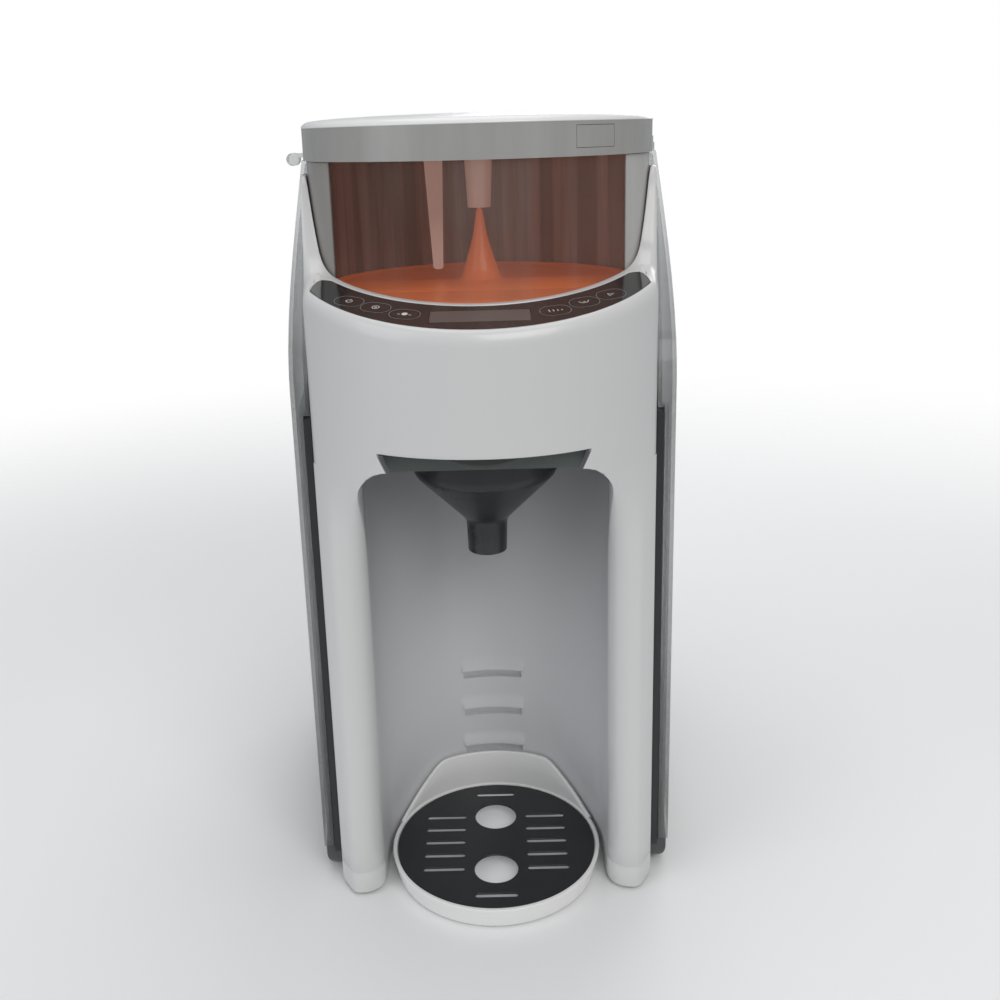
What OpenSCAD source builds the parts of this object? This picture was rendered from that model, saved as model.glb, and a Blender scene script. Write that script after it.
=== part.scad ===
// Countertop baby formula maker: a powder drum over a bottle bay, with a clear water tank wrapped
// round the back.
// Millimetres. +Z is up, the front faces -Y, +X is to the viewer's right.
// The origin is on the counter, at the middle of the machine's width and depth.

/* [Overall] */
// Depth of the machine, front of the head to the back of the water tank
overall_d = 338; // [330:1:350]
// Height of the machine, counter to the top of the powder lid
overall_h = 419.5; // [417:0.5:424]
// Gap between covers that meet, and between neighbours that move apart
cover_gap = 0.4; // [0.3:0.1:0.6]
// Height of the rubber feet below the base and the legs
foot_gap = 1.5; // [1:0.5:2]

/* [Front casing] */
// Radius of the rounded front of the head
casing_r = 100; // [98:1:103]
// Half the width of the casing where the rounded front meets the sides
casing_half_w = 87; // [85:1:88]
// Wall of the white casing
casing_wall = 2.6; // [2:0.2:3]
// Angle by which the sides open towards the back
flare = 6; // [4:0.5:7]
// Height of the ceiling of the bottle bay
bay_top_z = 250; // [244:1:254]
// Height of the dark plate's window in the bottom edge of the fascia
notch_h = 14; // [11:1:16]
// Height of the front edge of the sloping control ledge
ledge_z = 323; // [320:1:326]
// Slope of the control ledge, rising to the back
ledge_tilt = 15; // [12:1:18]
// Height of the casing's sides beside the powder drum
horn_z = 390; // [380:1:392]
// Depth of the control ledge, front to back
ledge_run = 68; // [60:1:72]
// Radius by which the control ledge turns up into the sides
scoop_r = 24.5; // [18:0.5:30]

/* [Bottle bay] */
// Radius of the bay's round back wall
bay_r = 62.5; // [61.5:0.5:64]
// Distance from the front of the head to the middle of the bay
bay_setback = 68.5; // [66:0.5:72]
// Width of a louvre in the back wall
louvre_w = 38; // [30:1:44]
// Height of the lip of the lowest louvre
louvre_z = 39; // [37:1:42]
// Rise from one louvre to the next
louvre_pitch = 25.5; // [23:0.5:27]
// Number of louvres
louvre_n = 3; // [2:1:3]
// How far a louvre stands out of the wall
louvre_out = 1.5; // [1:0.1:1.6]

/* [Bottle stand] */
// Outer radius of the stand's ring at its rim
ring_r = 59.7; // [58:0.1:60]
// Height of the stand's ring
ring_h = 12.7; // [11:0.1:14]
// Radius of the black grille
grille_r = 57; // [55:0.5:57.2]
// Radius of the two round holes in the grille
grille_hole_r = 12.2; // [8:0.2:13]
// Length of the slots in the grille
grille_slot_l = 23; // [16:1:25]
// Width of the slots in the grille
grille_slot_w = 2.4; // [1.6:0.2:3]
// Height of the hood behind the grille
hood_h = 35; // [28:1:36]
// How far the stand can be raised
stand_travel = 76.5; // [50:0.5:80]

/* [Powder drum] */
// Outer radius of the powder drum
drum_r = 91; // [89:0.5:91.5]
// Distance from the front of the head to the middle of the drum
drum_setback = 125; // [124:0.5:128]
// Wall of the powder drum
drum_wall = 2.4; // [2:0.2:3]
// Height of the drum's clear floor
drum_floor_z = 316; // [312:1:318]
// Height of the band round the lid
lid_band_h = 16; // [12:1:18]
// Height of the white top of the lid
lid_top_h = 6.5; // [5:0.5:8]
// Radius of the orange stirring wheel
wheel_r = 86; // [84:0.5:87]
// Height of the cone in the middle of the stirring wheel
cone_h = 38; // [30:1:42]

/* [Funnel] */
// Radius of the funnel's mouth
funnel_r = 38; // [34:0.5:40]
// Outer radius of the funnel's spout
spout_r = 10.3; // [9:0.1:11]
// Height of the spout's outlet above the counter
spout_z = 194; // [188:1:200]
// Half the width of the sliding funnel plate
plate_half_w = 50; // [46:0.5:52]
// How far the funnel plate slides out
funnel_travel = 98; // [80:1:110]

/* [Water tank] */
// Greatest width of the machine, across the water tank
tank_w = 229; // [227:1:232]
// Wall of the water tank
tank_wall = 2; // [1.6:0.1:2.2]
// Half the width across the front edges of the tank
tank_front_half_w = 98; // [97:0.5:99]
// Height of the tank's foot above the counter
tank_z = 18; // [16:1:20]
// Height where the tank begins to draw in towards its top
tank_shoulder_z = 290; // [270:1:300]
// Height where the front edges of the tank's arms begin to sweep back
wing_z = 285; // [270:1:300]
// How far the front edges of the arms sweep back by the top of the lid
wing_run = 112; // [100:1:120]
// Height of the tank's rim
tank_top_z = 396; // [394:1:398]
// How far the tank draws in by the top of its lid
tank_draw_in = 9; // [7:0.5:10]

/* [Control panel] */
// Width of a key along the panel
key_w = 13.8; // [11:0.2:14]
// Width of a key across the panel
key_d = 9.4; // [7:0.2:10]
// Travel of a key
key_travel = 0.6; // [0.4:0.1:0.8]
// Half the width of the display window
display_half_w = 23.4; // [20:0.2:25]

/* [Hidden] */
$fn = 96;
eps = 0.01;
big = 600;

front_y = -overall_d / 2;
back_y = overall_d / 2;
casing_cy = front_y + casing_r;
corner_y = casing_cy - sqrt(casing_r * casing_r - casing_half_w * casing_half_w);
bay_cy = front_y + bay_setback;
drum_cy = front_y + drum_setback;
wide_y = drum_cy;
head_back_y = drum_cy + drum_r + casing_wall + cover_gap;
leg_r = (casing_half_w - bay_r) / 2;
leg_cx = bay_r + leg_r;

function side_x(y) = casing_half_w + (min(y, wide_y) - corner_y) * tan(flare);

// ---------- plan outlines ----------

// The head seen from above, drawn in by d
module head_plan(d) {
    c = 18;
    xw = side_x(wide_y) - d;
    intersection() {
        union() {
            translate([0, casing_cy]) circle(r = casing_r - d, $fn = 160);
            translate([-big / 2, corner_y]) square([big, big]);
        }
        union() {
            polygon([[-side_x(front_y) + d, front_y], [side_x(front_y) - d, front_y],
                [xw, wide_y], [-xw, wide_y]]);
            translate([-xw, wide_y - eps]) square([2 * xw, head_back_y - d - c - wide_y + eps]);
            translate([-xw + c, wide_y]) square([2 * (xw - c), head_back_y - d - wide_y]);
            for (s = [-1, 1]) translate([s * (xw - c), head_back_y - d - c]) circle(r = c);
        }
    }
}

// The dark housing behind the bay seen from above, drawn in by d; a minus d grows it
housing_out = 4.5;
housing_front_y = corner_y + 4;
housing_corner = 22;
housing_back_y = head_back_y + 4;
module housing_plan(d) {
    c = housing_corner - d;
    xf = side_x(housing_front_y) + housing_out - d;
    xw = side_x(wide_y) + housing_out - d;
    yb = housing_back_y - d;
    polygon([[-xf, housing_front_y + d], [xf, housing_front_y + d], [xw, wide_y], [-xw, wide_y]]);
    translate([-xw, wide_y - eps]) square([2 * xw, yb - c - wide_y + eps]);
    translate([-xw + c, wide_y]) square([2 * (xw - c), yb - wide_y]);
    for (s = [-1, 1]) translate([s * (xw - c), yb - c]) circle(r = c);
}

// The bay seen from above, grown by d: a round back and straight sides to the front
module bay_plan(d) {
    translate([0, bay_cy]) circle(r = bay_r + d, $fn = 128);
    translate([-bay_r - d, front_y - 20]) square([2 * (bay_r + d), bay_cy - front_y + 20]);
}

// ---------- the sloping top of the head, seen from the side ----------

ledge_back_y = front_y + ledge_run;
function ledge_at(y) = ledge_z + (y - front_y) * tan(ledge_tilt);
scoop_cx = ledge_back_y - scoop_r * sin(ledge_tilt);
scoop_cz = ledge_at(ledge_back_y) + scoop_r * cos(ledge_tilt);
scoop_end = 66;
scoop_steps = 10;
scoop_arc = [for (i = [0:scoop_steps]) let (a = ledge_tilt + (scoop_end - ledge_tilt) * i / scoop_steps)
    [scoop_cx + scoop_r * sin(a), scoop_cz - scoop_r * cos(a)]];
scoop_top = scoop_arc[scoop_steps];
scoop_run = (horn_z - scoop_top[1]) / tan(scoop_end);

// Everything above the ledge, lifted by d
module above_ledge(d) {
    translate([-big / 2, 0, d]) rotate([90, 0, 90]) linear_extrude(big)
        polygon(concat([[front_y - 50, ledge_at(front_y - 50)]], scoop_arc,
            [[scoop_top[0] + scoop_run, horn_z], [back_y + 50, horn_z], [back_y + 50, big], [front_y
                - 50, big]]));
}

// ---------- front casing ----------

deck_z = 296;
deck_t = 3;
recess_r = drum_r + 1;
recess_wall = casing_wall;

module leg_plan(d) {
    back = wide_y - 20;
    for (s = [-1, 1]) scale([s, 1]) {
        translate([leg_cx, corner_y]) circle(r = leg_r - d, $fn = 64);
        polygon([[leg_cx - leg_r + d, corner_y], [leg_cx + leg_r - d, corner_y],
            [side_x(back) - d, back], [leg_cx - leg_r + d, back]]);
    }
}

module casing_side_cut() {
    // The leg ends just in front of the liner's own side wall
    for (s = [-1, 1]) scale([s, 1, 1]) translate([0, corner_y, -1])
        cube([bay_r + casing_wall + cover_gap, big, bay_top_z + 1 + eps]);
}

module front_casing() color([0.9, 0.9, 0.9]) {
    difference() {
        union() {
            difference() {
                translate([0, 0, bay_top_z]) linear_extrude(horn_z - bay_top_z) head_plan(0);
                difference() {
                    translate([0, 0, bay_top_z - 1]) linear_extrude(big) head_plan(casing_wall);
                    above_ledge(-casing_wall);
                    translate([0, drum_cy, deck_z + deck_t]) cylinder(r = recess_r + recess_wall,
                        h = big, $fn = 160);
                }
            }
            difference() {
                translate([0, 0, foot_gap]) linear_extrude(bay_top_z - foot_gap + eps) leg_plan(0);
                translate([0, 0, foot_gap + base_floor]) linear_extrude(bay_top_z) leg_plan(casing_wall);
                translate([-big / 2, wide_y - 22, 0]) cube([big, big, bay_top_z]);
            }
            // Closed shoulders where the legs meet the head
            translate([0, 0, bay_top_z]) linear_extrude(casing_wall) difference() {
                head_plan(0);
                bay_plan(casing_wall + cover_gap);
                translate([-big / 2, wide_y - 22]) square([big, big]);
                leg_plan(casing_wall);
            }
        }
        above_ledge(0);
        casing_side_cut();
        // Room for the band of the drum's lid
        translate([0, drum_cy, lid_z0 - cover_gap]) cylinder(r = lid_r + cover_gap, h = big, $fn = 160);
        translate([0, drum_cy, deck_z - big / 2]) cylinder(r = recess_r, h = big, $fn = 160);
        // Window for the funnel plate
        translate([-plate_half_w - 1, front_y - 1, bay_top_z - 1]) cube([2 * plate_half_w + 2, 40,
            notch_h + 1]);
        // Sunken seat of the control panel
        panel_pocket(-cover_gap, panel_t);
        translate([0, 0, -casing_wall - 1]) panel_opening();
        feet_recess();
    }
}

// ---------- control panel ----------

panel_t = 1.6;
panel_rim = 4;
panel_gap_back = 4.2;

// Places its children on the control ledge, x to the right, y up the slope, at a plan point
module on_ledge(x, y, dz = 0) {
    translate([x, y, ledge_at(y)]) rotate([ledge_tilt, 0, 0]) translate([0, 0, dz]) children();
}

// The crescent seen from above, grown by d
module panel_plan(d) {
    y1 = ledge_back_y - 2;
    difference() {
        intersection() {
            translate([0, casing_cy]) circle(r = casing_r - panel_rim + d, $fn = 160);
            translate([-casing_half_w + 4.5 - d, front_y]) square([2 * (casing_half_w - 4.5 + d), y1
                - front_y + d]);
        }
        translate([0, drum_cy]) circle(r = recess_r + panel_gap_back - d, $fn = 160);
    }
}

module slab(lift, t) {
    // A sheet of thickness t whose top is lift above the ledge plane
    translate([0, 0, lift]) rotate([90, 0, 90]) translate([0, 0, -big / 2]) linear_extrude(big)
        polygon([[front_y - 50, ledge_at(front_y - 50) - t], [ledge_back_y, ledge_at(ledge_back_y) - t],
            [ledge_back_y, ledge_at(ledge_back_y)], [front_y - 50, ledge_at(front_y - 50)]]);
}

module panel_pocket(d, t) {
    intersection() {
        translate([0, 0, ledge_z - 20]) linear_extrude(80) panel_plan(-d);
        slab(1, t + 1);
    }
}

key_spots = [[-62.3, 38.2], [-49, 30.3], [-34.9, 22], [34.9, 22], [49, 30.3], [62.3, 38.2]];
key_turn = 0.42;
display_y = front_y + 18.2;
display_d = 12.6;

module key_shape(d) {
    // A stadium close to the oval of the real key
    w = key_w / 2 - key_d / 2;
    for (s = [-1, 1]) translate([s * w, 0]) circle(r = key_d / 2 + d, $fn = 40);
    square([2 * w, key_d + 2 * d], center = true);
}

module key_at(i) {
    x = key_spots[i][0];
    y = front_y + key_spots[i][1];
    on_ledge(x, y) rotate([0, 0, x * key_turn]) children();
}

module panel_opening() {
    // Room under the panel for the keys and the display
    intersection() {
        translate([0, 0, ledge_z - 40]) linear_extrude(100) panel_plan(-1.5);
        slab(2, casing_wall + 6);
    }
}

module control_panel() color([0.12, 0.11, 0.11]) difference() {
    intersection() {
        panel_pocket(0, panel_t);
        slab(0, panel_t);
    }
    for (i = [0:5]) key_at(i) translate([0, 0, -panel_t - 1]) linear_extrude(panel_t + 2) key_shape(0.3);
    on_ledge(0, display_y) translate([-display_half_w, -display_d / 2, -panel_t - 1])
        cube([2 * display_half_w, display_d, panel_t + 2]);
}

module key_cap(i) color([0.16, 0.15, 0.15]) key_at(i) {
    translate([0, 0, -panel_t]) linear_extrude(panel_t + 0.1) key_shape(0);
    translate([0, 0, -panel_t - key_stem]) cylinder(r = 1.6, h = key_stem + eps);
}

module power_key() key_cap(0);
module heat_key() key_cap(1);
module info_key() key_cap(2);
module volume_key() key_cap(3);
module powder_key() key_cap(4);
module start_key() key_cap(5);

module display_window() color([0.3, 0.28, 0.27]) on_ledge(0, display_y)
    translate([-display_half_w + 0.2, -display_d / 2 + 0.2, -panel_t])
        cube([2 * display_half_w - 0.4, display_d - 0.4, panel_t]);

key_stem = 2.4;
dome_h = 0.4;
board_drop = panel_t + key_stem + key_travel + dome_h + 0.3;
board_t = 1.6;
module panel_board() color([0.1, 0.35, 0.2]) difference() {
    union() {
        intersection() {
            translate([0, 0, ledge_z - 40]) linear_extrude(100) panel_plan(-4);
            translate([0, 0, -board_drop / cos(ledge_tilt)]) slab(0, board_t);
        }
        // One dome switch under each key
        for (i = [0:5]) key_at(i) translate([0, 0, -board_drop - eps]) cylinder(r = 2.4, h = dome_h + eps);
    }
    for (s = [-1, 1]) translate([s * 74, ledge_back_y - 8, ledge_z - 40]) cylinder(r = 1.3, h = 100);
}

module display_module() color([0.75, 0.78, 0.8]) on_ledge(0, display_y)
    translate([-display_half_w + 1.5, -display_d / 2 + 1, -board_drop])
        cube([2 * display_half_w - 3, display_d - 2, board_drop - panel_t]);

// ---------- bay liner ----------

liner_r = bay_r + casing_wall;
louvre_rise = 9;
slot_h = 5;

module louvre(z) {
    // A slanting scale on the round wall, as wide as the louvre
    intersection() {
        translate([0, bay_cy, z]) rotate_extrude($fn = 128) polygon([[bay_r + 1, 0.5], [bay_r
            - louvre_out, 0],
            [bay_r - louvre_out + 0.3, 1.4], [bay_r + 0.2, louvre_rise], [bay_r + 1, louvre_rise]]);
        translate([-louvre_w / 2, bay_cy, z - 1]) cube([louvre_w, big, louvre_rise + 2]);
    }
}

module bay_liner() color([0.86, 0.87, 0.88]) {
    difference() {
        union() {
            translate([0, 0, foot_gap]) linear_extrude(bay_top_z - foot_gap) difference() {
                intersection() {
                    bay_plan(casing_wall);
                    translate([-big / 2, corner_y + cover_gap]) square([big, big]);
                }
                bay_plan(0);
            }
            // Ceiling, open in the middle for the sliding plate
            translate([0, 0, bay_top_z]) linear_extrude(casing_wall) difference() {
                intersection() {
                    bay_plan(casing_wall);
                    translate([0, casing_cy]) circle(r = casing_r - casing_wall - cover_gap, $fn = 160);
                }
                translate([-plate_half_w - cover_gap, front_y - 1])
                    square([2 * (plate_half_w + cover_gap), plate_back_y + cover_gap - front_y + 1]);
            }
            for (i = [0:louvre_n - 1]) louvre(louvre_z + i * louvre_pitch);
        }
        // A slot below each lip
        for (i = [0:louvre_n - 1]) translate([-louvre_w / 2 + 2, bay_cy + bay_r - 10, louvre_z
            + i * louvre_pitch - slot_h])
            cube([louvre_w - 4, 20, slot_h]);
    }
    // Lugs that stand the liner on the base
    translate([0, 0, base_lid_z]) linear_extrude(12) difference() {
        for (s = [-1, 1]) translate([s * 40 - 4, bay_cy + 40]) square([8, liner_r - 40 + 8]);
        bay_plan(casing_wall - 0.5);
    }
}

// ---------- rear housing, base ----------

housing_top_z = 271;
base_floor = 2.5;
base_lid_z = tank_z - cover_gap;
base_lid_t = 2.6;
base_top = base_lid_z - base_lid_t;
plate_top_z = foot_gap + base_floor;

module rear_housing() color([0.16, 0.17, 0.18]) {
    union() {
        translate([0, 0, base_lid_z]) linear_extrude(housing_top_z - base_lid_z) difference() {
            housing_plan(0.6);
            housing_plan(0.6 + casing_wall);
            // Open at the front, where the casing and the liner close it
            beside_legs();
        }
        // Front faces of the two sides, seen as dark strips beside the casing
        for (s = [-1, 1]) scale([s, 1, 1]) translate([0, 0, base_lid_z]) linear_extrude(housing_top_z
            - base_lid_z)
            polygon([[side_x(housing_front_y) + cover_gap, housing_front_y + 0.6],
                [side_x(housing_front_y) + housing_out - 0.6, housing_front_y + 0.6],
                [side_x(wide_y - 25) + housing_out - 0.6, wide_y - 25 + 2],
                [side_x(wide_y - 25) + cover_gap, wide_y - 25 + 2]]);
        // Roof round the head
        translate([0, 0, housing_top_z - 2]) linear_extrude(2) difference() {
            housing_plan(0.6);
            head_plan(-cover_gap);
        }
    }
}

// Outline of the tank and the base, drawn in by d
tank_r = tank_w / 2;
tank_cy = back_y - tank_r;
tank_front_y = corner_y + 9;
module outline_plan(d) {
    dist = sqrt(pow(tank_front_half_w, 2) + pow(tank_front_y - tank_cy, 2));
    phi = atan2(tank_front_y - tank_cy, tank_front_half_w) + acos(tank_r / dist);
    tx = tank_r * cos(phi);
    ty = tank_cy + tank_r * sin(phi);
    translate([0, tank_cy]) circle(r = tank_r - d, $fn = 160);
    polygon([for (s = [[-1, 0], [-1, 1], [1, 1], [1, 0]])
        s[1] == 0 ? [s[0] * (tank_front_half_w - d), tank_front_y + d] : [s[0] * (tx - d * cos(phi)),
            ty - d * sin(phi)]]);
}

module base_ring(d) {
    difference() {
        intersection() {
            outline_plan(d);
            translate([-big / 2, tank_front_y + d]) square([big, big]);
        }
        bay_plan(casing_wall + cover_gap);
        beside_legs();
    }
}

// The ground between the legs and under them, out to the casing's sides
module beside_legs() {
    back = wide_y - 20;
    for (s = [-1, 1]) scale([s, 1]) polygon([[0, front_y], [side_x(front_y) + cover_gap, front_y],
        [side_x(back) + cover_gap, back], [0, back]]);
}

module base_housing() color([0.3, 0.31, 0.32]) difference() {
    translate([0, 0, plate_top_z]) linear_extrude(base_lid_z - plate_top_z) base_ring(0.6);
    // Hollow inside, under a flat top
    translate([0, 0, plate_top_z - 1]) linear_extrude(base_top - plate_top_z + 1) base_ring(3.4);
    // The housing, the liner and the pipes stand through the top
    translate([0, 0, base_top - 1]) linear_extrude(20) intersection() {
        housing_plan(14);
        translate([-big / 2, bay_cy + bay_r + 8]) square([big, big]);
    }
    translate([0, socket_y, 0]) cylinder(r = socket_r + cover_gap, h = 60);
    translate([0, back_y + 1, cord_z]) rotate([90, 0, 0]) cylinder(r = gland_r + 0.05, h = 12);
}

module base_plate() color([0.24, 0.25, 0.26]) difference() {
    translate([0, 0, foot_gap]) linear_extrude(base_floor) base_ring(0.6);
    feet_recess();
    for (p = screw_spots) translate([p[0], p[1], 0]) cylinder(r = 1.8, h = 10);
}

foot_r = 8;
foot_spots = [[-leg_cx, corner_y + 4], [leg_cx, corner_y + 4], [-60, back_y - 45], [60, back_y - 45]];
foot_sink = 1;
module feet_recess() {
    for (p = foot_spots) translate([p[0], p[1], -1]) cylinder(r = foot_r + 0.1, h = foot_gap
        + foot_sink + 1);
}
module rubber_feet() color([0.08, 0.08, 0.08]) for (p = foot_spots) translate([p[0], p[1], 0]) {
    cylinder(r = foot_r - 1, h = 0.6);
    translate([0, 0, 0.6]) cylinder(r = foot_r, h = foot_gap + foot_sink - 0.6);
}

screw_spots = [[-92, 0], [92, 0], [-30, back_y - 12], [30, back_y - 12]];
module base_screws() color([0.6, 0.6, 0.62]) for (p = screw_spots) translate([p[0], p[1], 0]) {
    translate([0, 0, foot_gap - 1]) cylinder(r = 3, h = 1);
    translate([0, 0, foot_gap - eps]) cylinder(r = 1.5, h = base_floor + 1);
}

cord_z = 9.5;
gland_r = 4.6;
cord_r = 3.5;
module cord_gland() color([0.1, 0.1, 0.1]) translate([0, back_y - 0.6, cord_z]) rotate([90, 0, 0])
    difference() {
    union() {
        cylinder(r = gland_r, h = 8);
        translate([0, 0, 3.2]) cylinder(r = gland_r + 0.6, h = 1.6);
    }
    translate([0, 0, -1]) cylinder(r = cord_r, h = 12);
}

// ---------- drum, lid, wheels ----------

neck_r = drum_r - 1.2;
drum_base_z = deck_z + deck_t + cover_gap;
drum_top_z = overall_h - lid_top_h - 2;
wheel_z = drum_floor_z + drum_wall + 0.4;
powder_wheel_h = 8.6;
stir_z = wheel_z + powder_wheel_h + 0.2;
stir_t = 3.4;
hub_r = 9;
outlet_r = 9;
outlet_dist = drum_cy - bay_cy;

module powder_drum() color([0.5, 0.46, 0.44, 0.45]) translate([0, drum_cy, 0]) difference() {
    translate([0, 0, drum_floor_z]) cylinder(r = drum_r, h = drum_top_z - drum_floor_z, $fn = 160);
    translate([0, 0, drum_floor_z + drum_wall]) cylinder(r = drum_r - drum_wall, h = big, $fn = 160);
    translate([0, 0, drum_floor_z - 1]) cylinder(r = hub_r + 0.4, h = 10);
    translate([0, -outlet_dist, drum_floor_z - 1]) cylinder(r = outlet_r, h = 10);
    // Step that the lid band closes over
    difference() {
        translate([0, 0, lid_z0 - cover_gap]) cylinder(r = drum_r + 1, h = big);
        translate([0, 0, lid_z0 - 1]) cylinder(r = neck_r, h = big, $fn = 160);
    }
}

// The opaque base under the clear drum, with its hub and the outlet that the measure falls through
module base_form() translate([0, drum_cy, 0]) difference() {
    translate([0, 0, drum_base_z]) cylinder(r = drum_r, h = drum_floor_z - drum_base_z, $fn = 160);
    translate([0, 0, drum_base_z - 1]) difference() {
        cylinder(r = drum_r - 4, h = drum_floor_z - drum_base_z - 2.4);
        cylinder(r = hub_r + 4, h = 60);
        translate([0, -outlet_dist, 0]) cylinder(r = outlet_r + 3, h = 60);
    }
    translate([0, 0, drum_base_z - 1]) cylinder(r = hub_r + 0.4, h = 60);
    translate([0, -outlet_dist, drum_base_z - 1]) cylinder(r = outlet_r, h = 60);
}

// The front of the base, round the outlet, is a piece of its own
outlet_piece_w = 2 * outlet_r + 18;
module outlet_piece() translate([-outlet_piece_w / 2, drum_cy - drum_r - 1, drum_base_z - 1])
    cube([outlet_piece_w, drum_r + 1 - outlet_dist + outlet_r + 9, 60]);
module drum_base() color([0.9, 0.9, 0.89]) difference() {
    base_form();
    outlet_piece();
}
module powder_outlet() color([0.88, 0.88, 0.87]) intersection() {
    base_form();
    outlet_piece();
}

pocket_n = 8;
module powder_wheel() color([0.85, 0.85, 0.83]) translate([0, drum_cy, wheel_z]) difference() {
    union() {
        cylinder(r = wheel_r, h = powder_wheel_h, $fn = 160);
        translate([0, 0, drum_base_z - wheel_z]) cylinder(r = hub_r, h = wheel_z - drum_base_z + eps);
    }
    for (i = [0:pocket_n - 1]) rotate([0, 0, i * 360 / pocket_n + 22.5]) translate([0, -outlet_dist, -1])
        cylinder(r = outlet_r - 1, h = powder_wheel_h + 2);
    // Square drive socket from below
    translate([-shaft_sq / 2 - 0.15, -shaft_sq / 2 - 0.15, drum_base_z - wheel_z - 1])
        cube([shaft_sq + 0.3, shaft_sq + 0.3, shaft_top_z + 1.5 - drum_base_z]);
}

cone_r = [11.2, 9.2, 7.4, 5.8, 4.2, 3, 2.2, 1.2];
module stir_wheel() color([0.68, 0.34, 0.2]) translate([0, drum_cy, stir_z]) {
    difference() {
        cylinder(r = wheel_r, h = stir_t, $fn = 160);
        for (i = [0:pocket_n - 1]) rotate([0, 0, i * 360 / pocket_n]) translate([0, -outlet_dist, -1])
            cylinder(r = outlet_r - 1, h = stir_t + 2);
        translate([0, 0, stir_t - 1.2]) difference() {
            cylinder(r = wheel_r - 5, h = 5);
            cylinder(r = wheel_r - 30, h = 5);
        }
    }
    // Flared cone in the middle
    rotate_extrude($fn = 64) polygon(concat([[0, stir_t - eps]],
        [for (i = [0:7]) [cone_r[i], stir_t - eps + i * cone_h / 7]], [[0, stir_t + cone_h + 0.4]]));
    // Two stirring arms
    for (a = [0, 180]) rotate([0, 0, a]) translate([hub_r, -1.5, stir_t - eps]) cube([46, 3, 4.4]);
}

lid_r = drum_r + 1.9;
lid_z0 = overall_h - lid_top_h - lid_band_h;
module lid_band() color([0.62, 0.62, 0.6, 0.7]) translate([0, drum_cy, 0]) difference() {
    union() {
        translate([0, 0, lid_z0]) cylinder(r = lid_r - 0.4, h = lid_band_h, $fn = 160);
    }
    translate([0, 0, lid_z0 - 1]) cylinder(r = drum_r - 0.5, h = lid_band_h - 1, $fn = 160);
    translate([0, 0, lid_z0 - 1]) cylinder(r = drum_r - 6, h = big);
    latch_box(0.25, latch_travel + 0.35);
}

module lid_top() color([0.93, 0.93, 0.92]) translate([0, drum_cy, overall_h - lid_top_h]) {
    rotate_extrude($fn = 160) polygon([[0, 2], [drum_r - 8, 0.4], [drum_r - 7, 0], [lid_r, 0], [lid_r,
        lid_top_h - 4.5],
        [lid_r - 0.6, lid_top_h - 2.9], [lid_r - 2, lid_top_h - 1.9], [lid_r - 4, lid_top_h - 1.4],
        [lid_r * 0.55, lid_top_h - 0.4], [0, lid_top_h]]);
}

latch_a = 38;
latch_travel = 0.6;
// The latch's box, grown by d and deeper by press towards the drum
module latch_box(d, press = 0) {
    rotate([0, 0, -90 + latch_a]) translate([lid_r - 2.2 - d - press, -12 - d, lid_z0 + 4 - d])
        cube([4 + press, 24 + 2 * d, 10 + 2 * d]);
}
module lid_latch() color([0.72, 0.72, 0.7]) translate([0, drum_cy, 0]) intersection() {
    latch_box(0);
    translate([0, 0, lid_z0]) difference() {
        cylinder(r = lid_r - 0.4, h = lid_band_h, $fn = 160);
        translate([0, 0, -1]) cylinder(r = lid_r - 1.6, h = lid_band_h + 2, $fn = 160);
    }
}

lid_hub_z = stir_z + stir_t + cone_h + 0.9;
module lid_hub() color([0.7, 0.66, 0.63, 0.7]) translate([0, drum_cy, 0]) {
    plate_z = overall_h - lid_top_h;
    translate([0, 0, lid_hub_z]) cylinder(r1 = 6.2, r2 = 8.4, h = plate_z + 0.4 - lid_hub_z);
    // Cover disc inside the lid, with a wiper blade hanging from it
    translate([0, 0, plate_z - 2]) cylinder(r = drum_r - 9, h = 2, $fn = 160);
    blade_z = stir_z + stir_t + 6;
    translate([0, 1, 0]) rotate([90, 0, 0]) linear_extrude(2)
        polygon([[-30, plate_z - 1], [-18.7, plate_z - 1], [-20.6, blade_z + 1], [-22, blade_z],
            [-24.6, blade_z],
            [-26, blade_z + 1]]);
}

// ---------- drive ----------

shaft_sq = 7;
shaft_foot_r = 3.2;
bridge_t = 3;
shaft_top_z = drum_base_z + 12;
gear_m = 1.25;
drive_teeth = 44;
pinion_teeth = 14;
gear_t = 6;
gear_z = deck_z - 12;
bridge_z = gear_z - 8;
pinion_y = drum_cy + (drive_teeth + pinion_teeth) * gear_m / 2;

module gear_plan(n) {
    pr = n * gear_m / 2;
    ro = pr + gear_m * 0.92;
    ri = pr - gear_m * 1.2;
    step = 360 / n;
    circle(r = ri, $fn = 2 * n);
    for (i = [0:n - 1]) rotate(i * step) polygon([
        [ri * cos(step * 0.3) - 0.3, -ri * sin(step * 0.3)], [pr * cos(step * 0.22),
            -pr * sin(step * 0.22)],
        [ro * cos(step * 0.1), -ro * sin(step * 0.1)], [ro * cos(step * 0.1), ro * sin(step * 0.1)],
        [pr * cos(step * 0.22), pr * sin(step * 0.22)], [ri * cos(step * 0.3) - 0.3,
            ri * sin(step * 0.3)]]);
}

module drive_gear() color([0.93, 0.91, 0.84]) translate([0, drum_cy, gear_z]) linear_extrude(gear_t)
    difference() {
    rotate(90) gear_plan(drive_teeth);
    square(shaft_sq + 0.1, center = true);
}

module drive_shaft() color([0.7, 0.71, 0.72]) translate([0, drum_cy, 0]) {
    translate([-shaft_sq / 2, -shaft_sq / 2, gear_z - 1]) cube([shaft_sq, shaft_sq, shaft_top_z
        - gear_z + 1]);
    translate([0, 0, gear_z + gear_t + 0.05]) cylinder(r = 8.5, h = 1.2);
    // Foot in the bridge, with a collar above it
    translate([0, 0, bridge_z]) cylinder(r = shaft_foot_r, h = gear_z - bridge_z);
    translate([0, 0, bridge_z + bridge_t + 0.3]) cylinder(r = 6, h = gear_z - bridge_z - bridge_t - 0.3);
}

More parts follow.
